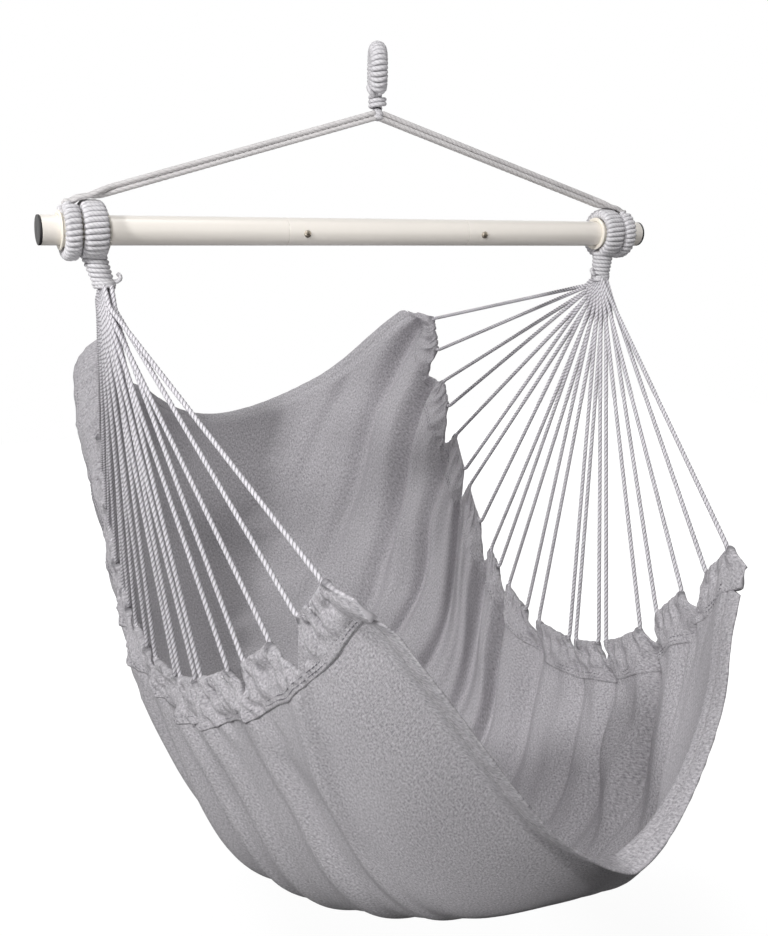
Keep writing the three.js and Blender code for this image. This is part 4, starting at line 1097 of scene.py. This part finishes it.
def edge_place(side, share):
    """Inward place of the hem's edge.

    It lies beyond the cord over each loop, and falls in a rounded V to a notch tip between two loops.
    """
    k, aside = near_notch(share)
    way = np.clip(1 - np.abs(aside) / NOTCH_MOUTHS[k], 0, 1)
    depth = np.where((k == 0) | (k == LOOPS), END_NOTCH, NOTCH_DEPTHS[k])
    if side == "left":
        depth = np.where(k == 1, FIRST_LEFT_NOTCH, depth)
    crinkle = 0.5 * rumple(91, share * HEM_LINE / 4.2) + 0.8 * rumple(92, share * HEM_LINE / 14)
    pulled = CREASE_PULL * crease_depth(side, share * HEM_LINE, np.zeros_like(share))
    return -EDGE_OUT + (depth + EDGE_OUT) * way**0.95 + crinkle * (1 - 0.6 * way) + pulled * (1 - way)


def seam_depth(share):
    """Inward place of the hem's inner edge: a little uneven, and nearer past the end cords."""
    past = np.clip(np.maximum(-share, share - 1) / HEM_END, 0, 1)
    uneven = 1.8 * rumple(95, share * HEM_LINE / 38) + 0.8 * rumple(96, share * HEM_LINE / 13)
    return HEM_DEPTH + uneven - SEAM_RISE * past


def both_faces(outer, inner):
    """Columns round a band's section: the outer face from the seam to the edge, then the inner face back."""
    return np.concatenate([outer[:, ::-1], inner[:, 1:]], axis=1)


def hem_faces(side, shares, depth, out, crease):
    """Heights of the hem's outer and inner face over the seat's surface.

    Half the thickness swells over the cord and in the band, and thins at the edge, in creases and in fine
    pleats. Waves, rumples and creases move both faces, and puffs move the outer one most.
    """
    seed, length = HEM_SEEDS[side], shares[:, None] * HEM_LINE
    k, aside = near_notch(shares)
    over = smoothstep(np.abs(aside) / NOTCH_MOUTHS[k], 0.5, 1.1)[:, None]
    swell = HEM_HALF + CORD_SWELL * over * fade(depth, *CORD_SINK) + BAND_SWELL * window(depth, *BAND_DEPTHS)
    half = swell * np.sqrt(1 - (1 - np.clip(out / EDGE_ROUND, 0, 1)) ** 2)
    far = fade(depth, *GATHER_SINK)
    wave = np.sin(TURN * (length / 21 + 0.5 * rumple(seed, length / 30, depth / 60)))
    loose = rumple(seed + 1, length / 15, depth / 30) * (0.3 + 0.7 * far)
    gather = GATHER_WAVE * wave * far + GATHER_RUMPLE * loose - CREASE_DROP * crease
    gather = gather * (GATHER_LEAST + (1 - GATHER_LEAST) * smoothstep(depth, *GATHER_FREE))
    gather = gather * window(shares, -HEM_END, 0.0, 1.0, 1 + HEM_END)[:, None]
    fine = np.abs(rumple(seed + 4, length / 6.5 + depth / 60, depth / 45)) ** 0.7
    fine = fine * smoothstep(out, *FINE_RISE) * fade(depth, *FINE_SINK)
    thin = half * (1 - 0.6 * crease * smoothstep(depth, 4, 10)) - FINE_PLEAT * fine
    half = np.maximum(thin, 0.3 * half)
    puff = PUFF_HEIGHT * rumple(seed + 2, length / 10, depth / 15) * (1 - crease)
    puff = puff * smoothstep(out, *PUFF_RISE) * fade(depth, *PUFF_SINK)
    return gather + half + puff, gather - half + puff * 0.3


def side_hem(side):
    """Closed band round the seat's edge, with the cords' tunnels in it.

    A second map holds painted shade: it rises to one in creases and, as a bell, in a tunnel's mouth round each
    cord end.
    """
    shares = np.linspace(-HEM_END, 1 + HEM_END, int((1 + 2 * HEM_END) * HEM_LINE / HEM_STEP))
    edge = edge_place(side, shares)[:, None]
    depth = edge + HEM_ROWS / HEM_ROWS[-1] * (seam_depth(shares)[:, None] + HEM_PAST_SEAM - edge)
    length = np.broadcast_to(shares[:, None] * HEM_LINE, depth.shape)
    crease = crease_depth(side, length, depth)
    outer, inner = hem_faces(side, shares, depth, depth - edge, crease)
    columns = both_faces(depth, depth)
    distance = columns if side == "left" else section_lengths(shares)[:, -1:] - columns
    points, _ = cloth_point(shares, distance, both_faces(outer, inner))
    uv = cloth_uv(shares, np.concatenate([columns, columns[:, :1]], axis=1))
    part = outward(grid_part(points, wrap=True, caps=True, uv=uv))
    made = piece(f"side_hem_{side}_sewn", [part], HEM, "seat", f"side_hem_{side}")
    # Painted shade for the hem's colour: dark creases, and dark tunnel mouths round each cord end.
    from_cord = np.abs(length[..., None] - CORD_ENDS * HEM_LINE).min(-1)
    mouth = MOUTH_SHADE * np.exp(-((from_cord / MOUTH_HALF) ** 2)) * fade(depth, *MOUTH_DEPTH)
    shade = np.maximum(crease, mouth)
    shade = np.concatenate([both_faces(shade, shade), shade[:, -1:]], axis=1)
    pleats = outward(grid_part(points, wrap=True, caps=True, uv=np.stack([shade, shade], -1)))
    add_map(made.data, "painted_crease_shade", [pleats])
    return made


def seat_cloth():
    """One sheet from side hem to side hem, given its thickness by Solidify, and its area in square metres."""
    shares = np.linspace(-HEM_END + CLOTH_END, 1 + HEM_END - CLOTH_END, 280)
    total = section_lengths(shares)[:, -1:]
    distance = CLOTH_INSET + (total - 2 * CLOTH_INSET) * np.linspace(0, 1, 170)
    points, _ = cloth_point(shares, distance)
    part = grid_part(points, uv=cloth_uv(shares, distance))
    made = piece("seat_cloth", [part], CLOTH, "seat", "seat_panel")
    wall = made.modifiers.new("cloth_thickness", "SOLIDIFY")
    wall.thickness, wall.offset = CLOTH_THICKNESS * MM, 0.0
    return made, float(sum(p.area for p in made.data.polygons))


def edge_hem(name, node, end, way):
    """Rolled hem along the back or front edge: a flat oval section carried along it, a little puckered."""
    angle = circle(16)
    inward = EDGE_HEM_WIDTH / 2 * (1 - power_wave(np.cos(angle), 0.6))
    offset = EDGE_HEM_HALF * power_wave(np.sin(angle), 0.6)[:, None]
    shares = end + way * inward / HEM_LINE
    total = section_lengths(shares)[:, -1:]
    distance = EDGE_HEM_INSET + (total - 2 * EDGE_HEM_INSET) * np.linspace(0, 1, 330)
    pucker = 0.5 * rumple(201, distance / 9) * np.sign(offset)
    points, _ = cloth_point(shares, distance, offset + pucker)
    uv = np.swapaxes(cloth_uv(shares, distance), 0, 1)
    uv = np.concatenate([uv, uv[:, :1]], axis=1)
    part = outward(grid_part(np.swapaxes(points, 0, 1), wrap=True, caps=True, uv=uv))
    return piece(name, [part], HEM, "seat", node)


def stitch_parts(points, normals, length, radius):
    """Short rounded stitches laid end to end: each is an oval bead along the line between its neighbours."""
    way = unit(np.gradient(points, axis=0))
    aside = np.cross(normals, way)
    places, widths = STITCH_PLACES * length, STITCH_WIDTHS * radius
    return [
        stacked(at + np.outer(places, ahead), np.outer(widths, across), np.outer(widths, up), 6)
        for at, ahead, across, up in zip(points, way, aside, normals)
    ]


def stitch_row(shares, distance, stitch):
    """Stitches along a line of cloth points, on its outer and then on its inner face."""
    parts = []
    for face in (1, -1):
        points, normals = cloth_point(shares, distance, np.full(distance.shape, face * stitch["stand"]))
        flat = normals.reshape(-1, 3) * face
        parts += stitch_parts(points.reshape(-1, 3), flat, stitch["length"], stitch["radius"])
    return parts


def add_stitches():
    """Two rows along each side hem and one along each edge hem, on both faces."""
    side_parts, edge_parts = [], []
    shares = np.linspace(0, 1, int(HEM_LINE / SIDE_STITCH["pitch"]))
    total = section_lengths(shares)[:, -1:]
    for side in SIDES:
        for back in SIDE_STITCH_ROWS:
            depth = (seam_depth(shares) - back)[:, None]
            side_parts += stitch_row(shares, depth if side == "left" else total - depth, SIDE_STITCH)
    for end, way in ((-HEM_END, 1), (1 + HEM_END, -1)):
        share = np.array([end + way * EDGE_STITCH_ROW / HEM_LINE])
        last = float(section_lengths(share)[0, -1]) - EDGE_STITCH_INSET
        distance = np.arange(EDGE_STITCH_INSET, last, EDGE_STITCH["pitch"])[None]
        edge_parts += stitch_row(share, distance, EDGE_STITCH)
    return [
        # The side hems' stitches use the thread that is darkened as painted shade.
        piece("side_hem_stitches", side_parts, THREAD, "seat"),
        piece("edge_hem_stitches", edge_parts, PALE_THREAD, "seat"),
    ]


def add_seat():
    cloth, area = seat_cloth()
    hems = [side_hem(side) for side in SIDES]
    hems.append(edge_hem("back_hem_rolled", "back_hem", -HEM_END, 1))
    hems.append(edge_hem("front_hem_rolled", "front_hem", 1 + HEM_END, -1))
    hems += add_stitches()


# Surroundings, in metres

PHOTO_WIDTH, FOCAL_PIXELS, SENSOR_WIDTH = 768, 1100, 36
CAMERA_PLACE = (-0.61902, -1.21215, -0.21515)
CAMERA_TURN, CAMERA_FALL = math.radians(-27.38), math.radians(11.38)
SEAT_MIDDLE = (0, 0, -0.6)
WORLD_STRENGTH = 0.08
FLOOR_CORNERS, FLOOR_HALF, FLOOR_HEIGHT, FLOOR_GREY = ((-1, -1), (1, -1), (1, 1), (-1, 1)), 6, -1.45, 0.15
GLOW, GLOW_RISE, GLOW_FAR = 0.9, 0.2, (1.6, 2.6)


def looking(way):
    """Angles that turn a camera or a lamp to look along a way."""
    return Vector(way).to_track_quat("-Z", "Y").to_euler()


def add_camera():
    data = bpy.data.cameras.new("view")
    data.sensor_fit, data.sensor_width = "HORIZONTAL", SENSOR_WIDTH
    data.lens, data.clip_start = SENSOR_WIDTH * FOCAL_PIXELS / PHOTO_WIDTH, 0.05
    camera = new_object("view", data)
    level = math.cos(CAMERA_FALL)
    ahead = (-math.sin(CAMERA_TURN) * level, math.cos(CAMERA_TURN) * level, -math.sin(CAMERA_FALL))
    camera.location, camera.rotation_euler = CAMERA_PLACE, looking(ahead)
    bpy.context.scene.camera = camera


def add_lamp(name, place, power, aim=SEAT_MIDDLE, kind="AREA", **values):
    """A lamp that looks at its aim, with its power in watts."""
    data = bpy.data.lights.new(name, kind)
    data.energy = power
    for key, value in values.items():
        setattr(data, key, value)
    lamp = new_object(name, data)
    lamp.location, lamp.rotation_euler = place, looking(Vector(aim) - Vector(place))


def add_lamps():
    add_lamp("key", (-1.6, -2.0, 1.8), 40, size=0.45)
    add_lamp("side", (-2.7, -1.1, 0.75), 50, size=0.3)
    spot = {"kind": "SPOT", "spot_size": math.radians(25), "spot_blend": 0.9, "shadow_soft_size": 0.35}
    add_lamp("lift", (-1.3, -2.4, -1.15), 190, (-0.1, -0.2, 0.0), **spot)
    add_lamp("right", (2.6, -0.3, 0.3), 9, size=1.6)
    add_lamp("top", (0, -0.3, 2.2), 15, size=1.6)
    add_lamp("back", (-1.8, 2.0, 0.8), 10, size=1.2)


def add_world():
    """Weak even light, which camera, glossy and transmission rays see as plain white."""
    world = bpy.data.worlds.new("studio")
    world.use_nodes = True
    n = Nodes(world.node_tree)
    soft, out = (world.node_tree.nodes[name] for name in ("Background", "World Output"))
    n.feed(soft.inputs["Color"], (1, 1, 1, 1))
    n.feed(soft.inputs["Strength"], WORLD_STRENGTH)
    path = n.add("ShaderNodeLightPath").outputs
    mirrored = n.math("MAXIMUM", path["Is Glossy Ray"], path["Is Transmission Ray"])
    seen = n.math("MAXIMUM", path["Is Camera Ray"], mirrored)
    white = n.add("ShaderNodeBackground", {"Color": (1, 1, 1, 1), "Strength": 1.0})
    mix = n.add("ShaderNodeMixShader", {0: seen, 1: soft.outputs[0], 2: white.outputs[0]})
    n.feed(out.inputs["Surface"], mix.outputs[0])
    bpy.context.scene.world = world


def add_floor():
    """Plain floor below the seat, pale to the camera and brighter further away."""
    mesh = bpy.data.meshes.new("floor")
    corners = [(x * FLOOR_HALF, y * FLOOR_HALF, FLOOR_HEIGHT) for x, y in FLOOR_CORNERS]
    mesh.from_pydata(corners, [], [(0, 1, 2, 3)])
    material, n, shader = new_material("pale_floor", 0.9, Emission_Strength=1.0)
    shader["Base Color"].default_value = (FLOOR_GREY, FLOOR_GREY, FLOOR_GREY, 1)
    seen = n.add("ShaderNodeLightPath").outputs["Is Camera Ray"]
    away = n.add("ShaderNodeVectorMath", {0: n.object_place()}, operation="LENGTH").outputs["Value"]
    glow = n.times(seen, n.plus(n.times(n.ramp(away, *GLOW_FAR), GLOW_RISE), GLOW))
    n.feed(shader["Emission Color"], n.grey(glow))
    mesh.materials.append(material)
    floor = new_object("floor", mesh)


add_camera()
add_world()
add_floor()
add_lamps()
add_loop()
add_legs()
add_rings()
add_necks()
add_cords()
add_bar()
add_seat()

bpy.context.scene.view_settings.view_transform = "Standard"
